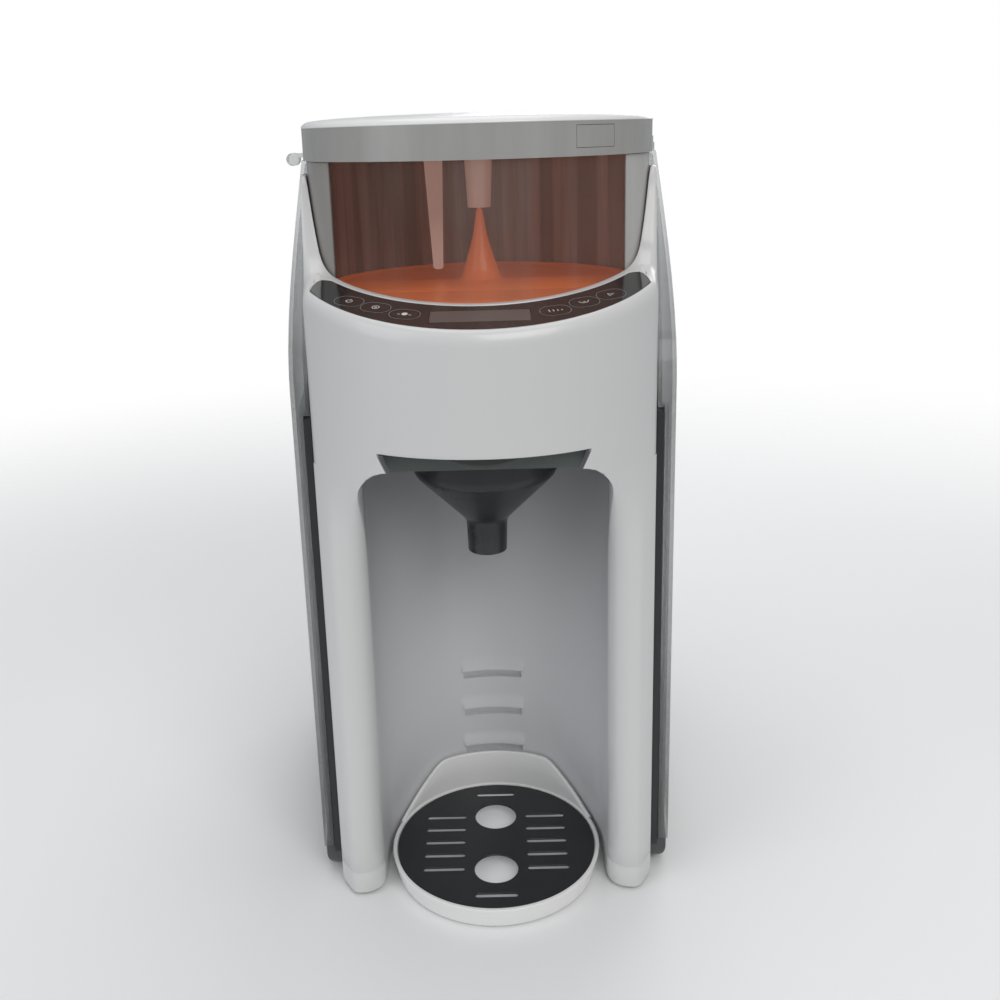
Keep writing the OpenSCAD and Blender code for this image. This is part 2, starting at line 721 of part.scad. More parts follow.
module motor_pinion() color([0.6, 0.6, 0.62]) translate([0, pinion_y, gear_z]) difference() {
    union() {
        linear_extrude(gear_t) rotate(90 + 180 / pinion_teeth) gear_plan(pinion_teeth);
        translate([0, 0, -3.7]) cylinder(r = 4.5, h = 4);
    }
    translate([0, 0, -5]) cylinder(r = 2.55, h = gear_t + 7);
}

motor_r = 16;
motor_h = 58;
module gear_motor() color([0.55, 0.56, 0.58]) translate([0, pinion_y, 0]) {
    translate([0, 0, bridge_z - motor_h]) cylinder(r = motor_r, h = motor_h);
    translate([0, 0, bridge_z - 1]) cylinder(r = 7, h = 5);
    translate([0, 0, bridge_z]) cylinder(r = 2.5, h = gear_z + gear_t - bridge_z);
    translate([-26, -13, bridge_z - 2.5]) cube([52, 26, 2.5]);
}

bridge_x = 42;
bridge_l = pinion_y - drum_cy + 30;
// The deck carries the drum and the shaft, and hangs the motor
module drum_deck() color([0.8, 0.8, 0.8]) difference() {
    union() {
        translate([0, 0, deck_z]) linear_extrude(deck_t) intersection() {
            head_plan(casing_wall + cover_gap);
            translate([0, drum_cy]) circle(r = recess_r + recess_wall + 3, $fn = 160);
        }
        // Bridge below the gears that holds the shaft's foot and the motor
        translate([-bridge_x, drum_cy - 9, bridge_z]) cube([2 * bridge_x, bridge_l, bridge_t]);
        for (s = [-1, 1]) translate([s * (bridge_x - 4) - 4, drum_cy - 9, bridge_z])
            cube([8, bridge_l, deck_z - bridge_z + eps]);
    }
    translate([0, drum_cy, deck_z - 1]) cylinder(r = 9.2, h = 20);
    translate([0, drum_cy, bridge_z - 1]) cylinder(r = shaft_foot_r + 0.05, h = 10);
    translate([0, pinion_y, bridge_z - 1]) cylinder(r = 7.2, h = 10);
    translate([0, bay_cy, deck_z - 1]) cylinder(r = outlet_r + 3.4, h = 10);
}

module powder_chute() color([0.85, 0.85, 0.85]) translate([0, bay_cy, 0]) difference() {
    union() {
        translate([0, 0, chute_z]) cylinder(r1 = outlet_r + 1, r2 = outlet_r + 3, h = deck_z - chute_z);
        translate([0, 0, deck_z - 2.4]) cylinder(r = outlet_r + 8, h = 2.4);
        translate([0, 0, deck_z - 1]) cylinder(r = outlet_r + 3, h = deck_t + 1);
    }
    translate([0, 0, chute_z - 1]) cylinder(r = outlet_r - 0.6, h = 60);
}
chute_z = bay_top_z + 11;

// ---------- funnel ----------

plate_front_y = front_y + 22;
plate_back_y = bay_cy + funnel_r + 12;
plate_t = 3;
collar_h = 11;
cone_bottom_z = spout_z + 18;
funnel_mouth_z = bay_top_z - collar_h;
plate_z = bay_top_z + 0.3;
plate_lip_z = bay_top_z + notch_h - 0.4;
lip_draw = 4.5;

module funnel_plate() color([0.26, 0.28, 0.28]) difference() {
    union() {
        translate([-plate_half_w + lip_draw, plate_front_y, plate_z])
            cube([2 * (plate_half_w - lip_draw), plate_back_y - plate_front_y, plate_t]);
        // Front lip, drawn in towards its bottom
        translate([0, plate_front_y + 3, 0]) rotate([90, 0, 0]) linear_extrude(3)
            polygon([[-plate_half_w + lip_draw, plate_z],
            [plate_half_w - lip_draw, plate_z], [plate_half_w, plate_lip_z], [-plate_half_w, plate_lip_z]]);
    }
    translate([0, bay_cy, plate_z - 1]) cylinder(r = funnel_r + 0.3, h = 10);
}

module funnel() color([0.23, 0.25, 0.26]) translate([0, bay_cy, 0]) {
    w = 1.8;
    rotate_extrude($fn = 96) polygon([[spout_r - w, spout_z], [spout_r, spout_z], [spout_r + 0.6,
        cone_bottom_z],
        [funnel_r, funnel_mouth_z], [funnel_r, plate_z + plate_t + 0.2], [funnel_r + 3, plate_z
            + plate_t + 0.2],
        [funnel_r + 3, plate_z + plate_t + 1.6], [funnel_r - w, plate_z + plate_t + 1.6], [funnel_r
            - w, funnel_mouth_z + 0.6],
        [spout_r + 0.6 - w, cone_bottom_z + 1]]);
}

// ---------- bottle stand, dish, grille ----------

stand_gap = 0.5;
hood_wall = 2.2;
runner_gap = 0.08;
runner_h = 16;
hood_r = bay_r - louvre_out - 0.6;
floor_t = 2;
bowl_gap = 0.4;
module bottle_stand() color([0.9, 0.9, 0.9]) translate([0, bay_cy, 0]) {
    rim_in = grille_r + 0.4;
    rotate_extrude($fn = 128) polygon([[0, stand_gap], [ring_r - 2.7, stand_gap], [ring_r - 0.3,
        ring_h - 1.6],
        [ring_r, ring_h - 1], [ring_r, ring_h], [rim_in, ring_h], [rim_in, grille_z - 0.6], [rim_in
            - 1.4, stand_gap + floor_t],
        [0, stand_gap + floor_t]]);
    // Hood: part of a ring behind the grille, cut off slanting at its ends
    difference() {
        translate([0, 0, stand_gap]) cylinder(r = hood_r, h = hood_h - stand_gap, $fn = 128);
        translate([0, 0, -1]) cylinder(r = hood_r - hood_wall, h = hood_h + 2, $fn = 128);
        translate([-big / 2, -big, -1]) cube([big, big + 20, hood_h + 2]);
        translate([-big / 2, 0, -1]) cube([big, big, ring_h - 1]);
        for (s = [-1, 1]) scale([s, 1, 1]) rotate([90, 0, 0]) translate([0, 0, -big / 2])
            linear_extrude(big)
            polygon([[34, hood_h + 1], [37, hood_h - 2], [57, ring_h], [80, ring_h], [80, hood_h + 1]]);
    }
    // Runners that guide the stand on the round wall
    intersection() {
        translate([0, 0, ring_h]) difference() {
            cylinder(r = bay_r - runner_gap, h = runner_h, $fn = 128);
            translate([0, 0, -1]) cylinder(r = hood_r - 1, h = runner_h + 2, $fn = 128);
        }
        for (a = [-26, 26]) rotate([0, 0, a]) translate([-2, 0, 0]) cube([4, big, big]);
    }
}

bowl_z = stand_gap + floor_t + bowl_gap;
grille_z = ring_h - 3.1;
module drip_dish() color([0.93, 0.93, 0.93]) translate([0, bay_cy, 0]) {
    bowl_r = grille_r - 1.8;
    rotate_extrude($fn = 128) polygon([[0, bowl_z], [bowl_r - 1.2, bowl_z], [bowl_r, grille_z - bowl_gap],
        [bowl_r - 1.8, grille_z - bowl_gap], [bowl_r - 2.8, bowl_z + 1.8], [0, bowl_z + 1.4]]);
}

grille_t = 2.6;
grille_row = 12;
module slot_shape(l) {
    for (s = [-1, 1]) translate([s * (l - grille_slot_w) / 2, 0]) circle(r = grille_slot_w / 2, $fn = 24);
    square([l - grille_slot_w, grille_slot_w], center = true);
}
module drip_grille() color([0.13, 0.14, 0.15]) translate([0, bay_cy, grille_z]) difference() {
    linear_extrude(grille_t) difference() {
        circle(r = grille_r, $fn = 128);
        for (s = [-1, 1]) {
            translate([0, s * 24.3]) circle(r = grille_hole_r, $fn = 64);
            translate([0, s * 46.5]) slot_shape(grille_slot_l);
            for (i = [-2:2]) translate([s * 29.2, i * grille_row]) slot_shape(grille_slot_l);
        }
    }
}

// ---------- water tank ----------

tank_lid_gap = 0.4;
lid_cap_z = tank_top_z + 11;
draw_steps = 8;
// The draw-in leaves the arms of the tank and its lid their width beside the casing
arm_least_w = 5.5;
tank_draw = min(tank_draw_in, max(0.5, tank_w / 2 - side_x(wide_y) - cover_gap - 0.7 - arm_least_w));
function draw_at(z) = z <= tank_shoulder_z ? 0
    : tank_draw * pow((z - tank_shoulder_z) / (lid_cap_z - tank_shoulder_z), 2);
tank_dist = sqrt(pow(tank_front_half_w, 2) + pow(tank_front_y - tank_cy, 2));
tank_phi = atan2(tank_front_y - tank_cy, tank_front_half_w) + acos(tank_r / tank_dist);
tank_lean = 90 - atan2(tank_r * sin(tank_phi) + tank_cy - tank_front_y, tank_r * cos(tank_phi)
    - tank_front_half_w);

// Heights from z0 to z1 with the steps of the drawn-in part between
function wall_zs(z0, z1) = concat([z0], [for (i = [0:draw_steps]) let (z = tank_shoulder_z
    + (lid_cap_z - tank_shoulder_z) * i / draw_steps) if (z > z0 + 1 && z < z1 - 1) z], [z1]);

// The tank's outer form, drawn in by d, between two heights
module tank_form(d, z0, z1) {
    zs = wall_zs(z0, z1);
    translate([0, tank_cy, 0]) rotate_extrude($fn = 160)
        polygon(concat([[0, z0]], [for (z = zs) [tank_r - d - draw_at(z), z]], [[0, z1]]));
    for (s = [-1, 1]) scale([s, 1, 1]) intersection() {
        translate([tank_front_half_w, tank_front_y, 0]) rotate([90, 0, 180 - tank_lean]) translate([0,
            0, -40])
            linear_extrude(tank_dist) polygon(concat([[130, z0]], [for (z = zs) [d + draw_at(z), z]],
                [[130, z1]]));
        translate([-1, tank_front_y + d, z0]) cube([big, tank_r * sin(tank_phi) + tank_cy
            - tank_front_y - d, z1 - z0]);
    }
}

// The room inside the tank's arms for the housing and the head, grown by d
module tank_room(d) {
    step_z = housing_top_z + 1 + d;
    difference() {
        translate([0, 0, tank_z - 30]) linear_extrude(step_z - tank_z + 30) {
            housing_plan(-d);
            translate([-side_x(front_y) - housing_out - d, front_y])
                square([2 * (side_x(front_y) + housing_out + d), housing_front_y - front_y + 40]);
        }
    }
    translate([0, 0, tank_z]) linear_extrude(big) {
        head_plan(-cover_gap - 0.4 - d);
        translate([-side_x(front_y) - 0.8 - d, front_y]) square([2 * (side_x(front_y) + 0.8 + d), 60]);
    }
    translate([0, drum_cy, tank_z]) cylinder(r = lid_r + 1 + d, h = big, $fn = 160);
}

// Front edges of the tank's arms sweep back towards the top in an S; t is 0 where it begins and 1 at
// the top
wing_steps = 12;
function wing_back(t) = tank_front_y + wing_run * t * t * (3 - 2 * t);
function wing_y(z) = wing_back((z - wing_z) / (lid_cap_z - wing_z));
module swept_front(d) {
    translate([-big / 2, 0, 0]) rotate([90, 0, 90]) linear_extrude(big) polygon(concat(
        [[tank_front_y - 40, wing_z - 60], [tank_front_y - 5 + d, wing_z - 60]],
        [for (i = [0:wing_steps]) [wing_back(i / wing_steps) + d, wing_z + (lid_cap_z - wing_z)
            * i / wing_steps]],
        [[tank_front_y + wing_run + d, big], [tank_front_y - 40, big]]));
}

module tank_shape(d, z0, z1) {
    difference() {
        tank_form(d, z0, z1);
        tank_room(d);
        swept_front(d);
    }
}

fill_y0 = head_back_y + 14;
socket_y = tank_cy + 55;
socket_r = 15;
// The tank is in three parts: the back, and an arm on each side of the head
arm_y = head_back_y + 1;
module arm_zone() translate([-big, arm_y - big, 0]) cube([2 * big, big, big]);
module tank_arm() intersection() {
    tank_body();
    translate([0, arm_y - big, 0]) cube([big, big, big]);
}
module tank_arm_right() color([0.75, 0.8, 0.82, 0.3]) tank_arm();
module tank_arm_left() color([0.75, 0.8, 0.82, 0.3]) mirror([1, 0, 0]) tank_arm();
module water_tank() color([0.75, 0.8, 0.82, 0.3]) {
    difference() {
        tank_body();
        arm_zone();
    }
    // Post that guides the float, with a stop on top
    translate([float_x, float_y, tank_z + 1]) cylinder(r = 2, h = float_post_h);
    translate([float_x, float_y, tank_z + float_post_h]) cylinder(r = 3.2, h = 2);
}

module fill_mouth() {
    intersection() {
        translate([0, tank_cy]) circle(r = tank_r - draw_at(tank_top_z) - 7, $fn = 96);
        translate([-big / 2, fill_y0]) square([big, big]);
    }
}

module tank_body() difference() {
    tank_shape(0, tank_z, tank_top_z);
    tank_shape(tank_wall, tank_z + tank_wall + 0.4, tank_top_z - tank_wall);
    // Filling mouth at the back
    translate([0, 0, tank_top_z - 6]) linear_extrude(20) fill_mouth();
    translate([0, socket_y, tank_z - 1]) cylinder(r = valve_r + 0.05, h = 10);
}

tab_r = 3.6;
tab_x = 107.4;
tab_y = tank_front_y + wing_run - 1;
tab_l = 9;
lid_steps = [0, 4.4, 8, lid_cap_z - tank_top_z - tank_lid_gap];
// One layer of the lid, each drawn in a little more than the one below
module lid_layer(i) {
    z0 = tank_top_z + tank_lid_gap + lid_steps[i];
    z1 = tank_top_z + tank_lid_gap + lid_steps[i + 1];
    translate([0, 0, z0]) linear_extrude(z1 - z0) difference() {
        intersection() {
            outline_plan(0.3 + draw_at((z0 + z1) / 2) + (i == 2 ? 0.8 : 0));
            translate([-big / 2, wing_y(z0) + 0.3]) square([big, big]);
        }
        head_plan(-cover_gap - 0.7);
        translate([0, drum_cy]) circle(r = lid_r + 1.3, $fn = 160);
    }
}

module tank_lid() color([0.85, 0.87, 0.88, 0.6]) {
    difference() {
        for (i = [0:2]) lid_layer(i);
        // Hollow underneath, over the filling mouth
        translate([0, 0, tank_top_z]) linear_extrude(lid_cap_z - tank_top_z - 2.6) fill_mouth();
    }
    // Lift tab on the left arm
    translate([-tab_x, tab_y, tank_top_z + 0.6]) rotate([-90, 0, 0]) cylinder(r = tab_r, h = tab_l,
        $fn = 48);
    translate([-tab_x, tab_y + 0.5, tank_top_z + 1.6]) cube([11, tab_l - 1, 2.4]);
}

valve_r = 9;
seat_z = tank_z + 3;
chamber_r = 6.2;
chamber_h = 8.4;
valve_travel = 2.5;
module valve_body() color([0.9, 0.9, 0.88]) translate([0, socket_y, 0]) difference() {
    union() {
        translate([0, 0, tank_z - 8]) cylinder(r = valve_r, h = 12);
        translate([0, 0, tank_z + tank_wall + 0.4]) cylinder(r = valve_r + 3, h = 1.8);
        translate([0, 0, tank_z + 2]) cylinder(r = chamber_r + 1.4, h = seat_z - tank_z + chamber_h);
    }
    translate([0, 0, tank_z - 9]) cylinder(r = 6, h = 8);
    translate([0, 0, tank_z - 2]) cylinder(r = 3.6, h = 8);
    translate([0, 0, seat_z]) cylinder(r = chamber_r, h = chamber_h);
    translate([0, 0, seat_z + chamber_h - 1]) cylinder(r = 2.2, h = 8);
    for (a = [0, 90]) rotate([0, 0, a]) translate([-20, -1.5, seat_z + 2]) cube([40, 3, 5]);
}

seal_t = 0.9;
valve_disc_t = 1.6;
module valve_poppet() color([0.85, 0.3, 0.2]) translate([0, socket_y, 0]) {
    translate([0, 0, tank_z - 6]) cylinder(r = 2.6, h = seat_z + seal_t + 0.4 - tank_z + 6);
    translate([0, 0, seat_z + seal_t + 0.35]) cylinder(r = 5.2, h = valve_disc_t);
    translate([0, 0, seat_z + seal_t + 0.4]) cylinder(r = 1.6, h = chamber_h);
}

coil_r = 3.6;
wire_r = 0.4;
coil_z = seat_z + seal_t + 0.35 + valve_disc_t + wire_r;
coil_pitch = (seat_z + chamber_h - wire_r - coil_z) / 3;
module valve_spring() color([0.75, 0.75, 0.77]) translate([0, socket_y, coil_z]) {
    for (i = [0:3]) translate([0, 0, i * coil_pitch]) rotate_extrude($fn = 32) translate([coil_r, 0])
        circle(r = wire_r, $fn = 16);
    for (i = [0:2]) translate([coil_r * cos(i * 120), coil_r * sin(i * 120), i * coil_pitch])
        cylinder(r = wire_r * 0.8, h = coil_pitch);
}

module valve_seal() color([0.1, 0.1, 0.1]) translate([0, socket_y, seat_z + 0.35]) difference() {
    cylinder(r = 5.2, h = seal_t);
    translate([0, 0, -1]) cylinder(r = 2.65, h = 4);
}

float_r = 8;
float_x = 42;
float_y = socket_y - 4;
float_h = 14;
float_travel = 24;
float_post_h = tank_wall + float_h + float_travel + 2;
module tank_float() color([0.95, 0.6, 0.2]) translate([float_x, float_y, tank_z + tank_wall + 0.7])
    difference() {
    cylinder(r = float_r, h = float_h);
    translate([0, 0, -1]) cylinder(r = 2.4, h = 20);
}

module tank_socket() color([0.6, 0.6, 0.62]) translate([0, socket_y, 0]) difference() {
    union() {
        translate([0, 0, plate_top_z]) cylinder(r = socket_r, h = tank_z - plate_top_z - 0.5);
    }
    translate([0, 0, tank_z - 8.4]) cylinder(r = valve_r + 0.4, h = 20);
    translate([0, 0, tank_z - 12]) cylinder(r = 4, h = 20);
    translate([0, -4, pipe_z]) rotate([90, 0, 0]) cylinder(r = tube_r + 0.05, h = 20);
}

// ---------- water path and electrics ----------

tube_r = 3.5;
pipe_z = plate_top_z + tube_r + 0.3;
module pipe(points, r = tube_r) {
    for (i = [0:len(points) - 2]) let (a = points[i], b = points[i + 1], v = b - a, l = norm(v))
        translate(a) rotate([0, acos(v[2] / l), atan2(v[1], v[0])]) cylinder(r = r, h = l, $fn = 32);
    for (i = [1:len(points) - 2]) translate(points[i]) sphere(r = r, $fn = 32);
}

chassis_y = bay_cy + liner_r + 8;
chassis_t = 3;
module inner_chassis() color([0.7, 0.71, 0.72]) {
    difference() {
        translate([-70, chassis_y, plate_top_z]) cube([140, chassis_t, bridge_z - plate_top_z]);
        for (z = [60, 120, 180]) translate([-52, chassis_y - 1, z]) rotate([-90, 0, 0]) cylinder(r = 7,
            h = 10);
        translate([heater_x, chassis_y - 1, hot_z]) rotate([-90, 0, 0]) cylinder(r = tube_r + 1, h = 10);
    }
    // Shelves under the motor and the pump
    translate([-30, chassis_y, bridge_z - motor_h - 3]) cube([60, 44, 3]);
    translate([-16.5, chassis_y, pump_z - 3]) cube([46.5, 44, 3]);
    for (s = [-1, 1]) translate([s * 71.5 - 1.5, chassis_y, plate_top_z]) cube([3, 40, bridge_z
        - plate_top_z]);
}

heater_z = 112;
heater_x = 40;
heater_y = chassis_y + chassis_t + 17.4;
pump_z = 60;
pump_y = heater_y;
module water_pump() color([0.2, 0.21, 0.23]) translate([0, pump_y, pump_z]) {
    cylinder(r = 16, h = 22);
    translate([0, 0, 22 - eps]) cylinder(r = 12, h = 24);
    translate([0, 0, 10]) rotate([-90, 0, 0]) cylinder(r = 3, h = 21);
    translate([0, 0, 15]) rotate([0, 90, 0]) cylinder(r = 3, h = 22);
}

module heater_block() color([0.75, 0.76, 0.78]) translate([heater_x, heater_y, heater_z]) {
    cylinder(r = 15, h = 74);
    for (z = [4, 66]) translate([0, 0, z]) cylinder(r = 17, h = 4);
    translate([0, 0, -8]) cylinder(r = 3, h = 8 + eps);
    translate([0, 0, 74 - eps]) cylinder(r = 3, h = 8);
}

module heater_clamp() color([0.6, 0.61, 0.63]) translate([heater_x, heater_y, heater_z + 34]) difference() {
    union() {
        cylinder(r = 17.2, h = 8);
        translate([-22, -17.4, 0]) cube([44, 8, 8]);
    }
    translate([0, 0, -1]) cylinder(r = 15, h = 10);
}

nozzle_y = bay_cy + 16;
nozzle_z = bay_top_z + 9;
hot_z = nozzle_z + 5 + tube_r + 1.5;
riser_y = pump_y + 30;
module suction_tube() color([0.85, 0.85, 0.8]) pipe([[0, socket_y - 12, pipe_z], [0, riser_y, pipe_z],
    [0, riser_y, pump_z + 10], [0, pump_y + 21, pump_z + 10]]);
module pump_tube() color([0.85, 0.85, 0.8]) pipe([[22, pump_y, pump_z + 15], [heater_x, pump_y,
    pump_z + 15],
    [heater_x, heater_y, heater_z - 8]]);
module hot_tube() color([0.85, 0.85, 0.8]) pipe([[heater_x, heater_y, heater_z + 82], [heater_x,
    heater_y, hot_z],
    [heater_x, nozzle_y, hot_z], [0, nozzle_y, hot_z], [0, nozzle_y, nozzle_z + 5]]);
module water_nozzle() color([0.88, 0.88, 0.86]) translate([0, nozzle_y, nozzle_z]) difference() {
    union() {
        cylinder(r1 = 2.6, r2 = 3.6, h = 5);
        translate([-14, -1.5, 2]) cube([28, 3, 3]);
    }
    translate([0, 0, -1]) cylinder(r = 1.4, h = 8);
}

module main_board() color([0.08, 0.32, 0.2]) translate([-66, chassis_y + chassis_t + 3, 96]) {
    cube([52, 1.6, 86]);
    for (x = [4, 46], z = [4, 78]) translate([x, 0.01, z]) rotate([90, 0, 0]) cylinder(r = 2, h = 3);
    translate([8, 1.59, 12]) cube([14, 10, 18]);
    translate([28, 1.59, 14]) cube([16, 3, 16]);
    translate([16, 1.59, 48]) cube([22, 12, 12]);
}

module power_board() color([0.1, 0.3, 0.18]) translate([-66, chassis_y + chassis_t + 3, 24]) {
    cube([48, 1.6, 60]);
    for (x = [4, 42], z = [4, 52]) translate([x, 0.01, z]) rotate([90, 0, 0]) cylinder(r = 2, h = 3);
    translate([8, 1.59, 10]) cube([24, 20, 20]);
    translate([10, 1.59, 42]) rotate([-90, 0, 0]) cylinder(r = 6, h = 22);
}

module drum_switch() color([0.15, 0.15, 0.16]) translate([44, drum_cy + 40, deck_z - 12]) {
    cube([12, 6, 12]);
    for (x = [2, 8]) translate([x, 2, -4]) cube([1.6, 2, 5]);
}

front_casing();
bay_liner();
rear_housing();
base_housing();
base_plate();
rubber_feet();
base_screws();
control_panel();
display_window();
display_module();
panel_board();
power_key();
heat_key();
info_key();
volume_key();
powder_key();
start_key();
powder_drum();
drum_base();
powder_outlet();
stir_wheel();
powder_wheel();
lid_top();
lid_band();
lid_hub();
lid_latch();
drum_deck();
drive_shaft();
drive_gear();
motor_pinion();
gear_motor();
powder_chute();
funnel_plate();
funnel();
bottle_stand();
drip_dish();
drip_grille();
water_tank();
tank_arm_right();
tank_arm_left();
tank_lid();
valve_body();
valve_poppet();
valve_spring();
valve_seal();
tank_float();
tank_socket();
water_pump();
heater_block();
heater_clamp();
suction_tube();
pump_tube();
hot_tube();
water_nozzle();
inner_chassis();
main_board();
power_board();
drum_switch();
cord_gland();
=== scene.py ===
import math

import bmesh
import bpy
import numpy as np
from mathutils import Matrix, Vector


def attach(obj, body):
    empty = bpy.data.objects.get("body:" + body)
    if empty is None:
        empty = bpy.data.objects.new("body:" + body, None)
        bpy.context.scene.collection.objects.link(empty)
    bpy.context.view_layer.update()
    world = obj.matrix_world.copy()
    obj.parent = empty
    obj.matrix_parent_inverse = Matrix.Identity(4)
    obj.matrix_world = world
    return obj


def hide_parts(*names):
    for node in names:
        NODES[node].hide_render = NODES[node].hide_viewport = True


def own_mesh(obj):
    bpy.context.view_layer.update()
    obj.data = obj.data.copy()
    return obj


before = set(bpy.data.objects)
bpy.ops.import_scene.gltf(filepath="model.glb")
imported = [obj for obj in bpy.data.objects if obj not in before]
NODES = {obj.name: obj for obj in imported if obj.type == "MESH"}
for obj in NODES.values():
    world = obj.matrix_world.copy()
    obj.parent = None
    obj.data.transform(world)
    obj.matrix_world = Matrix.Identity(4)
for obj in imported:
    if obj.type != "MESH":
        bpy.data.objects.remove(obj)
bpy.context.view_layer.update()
MM = 0.001


# ---------- shader helpers ----------

class Val:
    """A shader value that takes part in ordinary arithmetic."""

    def __init__(self, paint, out):
        self.paint, self.out = paint, out

    def math(self, op, *others, flip=False):
        node = self.paint.tree.nodes.new("ShaderNodeMath")
        node.operation = op
        args = [self, *others]
        if flip:
            args = args[::-1]
        for socket, a in zip(node.inputs, args):
            self.paint.feed(socket, a)
        return Val(self.paint, node.outputs[0])

    def __add__(self, o): return self.math("ADD", o)
    def __radd__(self, o): return self.math("ADD", o, flip=True)
    def __sub__(self, o): return self.math("SUBTRACT", o)
    def __rsub__(self, o): return self.math("SUBTRACT", o, flip=True)
    def __mul__(self, o): return self.math("MULTIPLY", o)
    def __rmul__(self, o): return self.math("MULTIPLY", o, flip=True)
    def __truediv__(self, o): return self.math("DIVIDE", o)
    def __rtruediv__(self, o): return self.math("DIVIDE", o, flip=True)
    def __pow__(self, o): return self.math("POWER", o)
    def __neg__(self): return self.math("MULTIPLY", -1.0)
    def lt(self, o): return self.math("LESS_THAN", o)
    def abs(self): return self.math("ABSOLUTE")
    def min(self, o): return self.math("MINIMUM", o)
    def max(self, o): return self.math("MAXIMUM", o)
    def sin(self): return self.math("SINE")
    def clamp(self): return self.math("ADD", 0.0).clamped()

    def clamped(self):
        self.out.node.use_clamp = True
        return self

    def ramp(self, lo, hi):
        """0 at lo, 1 at hi, smooth between."""
        node = self.paint.tree.nodes.new("ShaderNodeMapRange")
        node.interpolation_type = "SMOOTHSTEP"
        self.paint.feed(node.inputs[0], self)
        node.inputs[1].default_value, node.inputs[2].default_value = lo, hi
        return Val(self.paint, node.outputs[0])


class Paint:
    """A material being built round one Principled shader."""

    def __init__(self, name, color, rough=0.4, metal=0.0, **rest):
        self.mat = bpy.data.materials.new(name)
        self.mat.use_nodes = True
        self.tree = self.mat.node_tree
        self.bsdf = self.tree.nodes["Principled BSDF"]
        self.color = color
        self.set("Base Color", (*color, 1.0))
        self.set("Roughness", rough)
        self.set("Metallic", metal)
        for key, value in rest.items():
            self.set(key.replace("_", " "), value)

    def feed(self, socket, a):
        if isinstance(a, Val):
            self.tree.links.new(a.out, socket)
        else:
            socket.default_value = a

    def set(self, socket, a):
        self.feed(self.bsdf.inputs[socket], a)

    def node(self, kind, out=0, props=None, **inputs):
        node = self.tree.nodes.new("ShaderNode" + kind)
        for key, value in (props or {}).items():
            setattr(node, key, value)
        for key, value in inputs.items():
            self.feed(node.inputs[key.replace("_", " ")], value)
        return Val(self, node.outputs[out])

    def place(self):
        """Object coordinates as x, y, z values, in metres in the row frame."""
        coord = self.tree.nodes.new("ShaderNodeTexCoord")
        split = self.tree.nodes.new("ShaderNodeSeparateXYZ")
        self.tree.links.new(coord.outputs["Object"], split.inputs[0])
        return [Val(self, o) for o in split.outputs]

    def point(self, x, y, z):
        node = self.tree.nodes.new("ShaderNodeCombineXYZ")
        for socket, a in zip(node.inputs, (x, y, z)):
            self.feed(socket, a)
        return Val(self, node.outputs[0])

    def noise(self, scale, detail=2.0, rough=0.5, at=None):
        node = self.tree.nodes.new("ShaderNodeTexNoise")
        node.inputs["Scale"].default_value = scale
        node.inputs["Detail"].default_value = detail
        node.inputs["Roughness"].default_value = rough
        if at is None:
            coord = self.tree.nodes.new("ShaderNodeTexCoord")
            self.tree.links.new(coord.outputs["Object"], node.inputs["Vector"])
        else:
            self.feed(node.inputs["Vector"], at)
        return Val(self, node.outputs[0])

    def mix(self, fac, a, b):
        node = self.tree.nodes.new("ShaderNodeMix")
        node.data_type = "RGBA"
        self.feed(node.inputs[0], fac)
        for socket, c in ((node.inputs[6], a), (node.inputs[7], b)):
            self.feed(socket, c if isinstance(c, Val) else (*c, 1.0))
        return Val(self, node.outputs[2])

    def bump(self, height, distance, strength=1.0):
        node = self.tree.nodes.new("ShaderNodeBump")
        node.inputs["Distance"].default_value = distance
        node.inputs["Strength"].default_value = strength
        self.feed(node.inputs["Height"], height)
        self.set("Normal", Val(self, node.outputs[0]))


def plastic(name, color, rough=0.35, vary=0.04, grain=0.00002, grain_scale=900, coat=0.0, **rest):
    """Moulded plastic: faint cloudy colour, uneven gloss and a fine moulded skin."""
    p = Paint(name, color, rough, **rest)
    cloud = p.noise(9, 3)
    dark = tuple(c * (1 - vary) for c in color)
    p.set("Base Color", p.mix(cloud, dark, color))
    fine = p.noise(grain_scale, 2)
    smear = p.noise(28, 4, 0.6)
    p.set("Roughness", (rough * 0.82) + smear * (rough * 0.36))
    p.bump(fine, grain)
    if coat:
        p.set("Coat Weight", coat)
        p.set("Coat Roughness", 0.08)
    return p


def metal(name, color, rough=0.3, along="z"):
    """Brushed metal with fine lines along one axis."""
    p = Paint(name, color, rough, 1.0)
    x, y, z = p.place()
    stretch = {"x": (4, 300, 300), "y": (300, 4, 300), "z": (300, 300, 4)}[along]
    lines = p.noise(1.0, 3, at=p.point(x * stretch[0], y * stretch[1], z * stretch[2]))
    p.set("Roughness", (rough * 0.7) + lines * (rough * 0.6))
    p.bump(lines, 0.00002)
    return p


def clear(name, color, alpha, rough=0.05, edge=0.5, **rest):
    """Clear moulded plastic: more colour and gloss where it is seen along its wall."""
    p = Paint(name, color, rough, **rest)
    facing = p.node("LayerWeight", out=1, Blend=0.32)
    smear = p.noise(30, 3)
    p.set("Alpha", (alpha + facing * edge).clamp())
    p.set("Roughness", (rough * 0.7) + smear * (rough * 0.8))
    p.bump(p.noise(14, 2), 0.0004)
    return p


# ---------- mesh helpers ----------

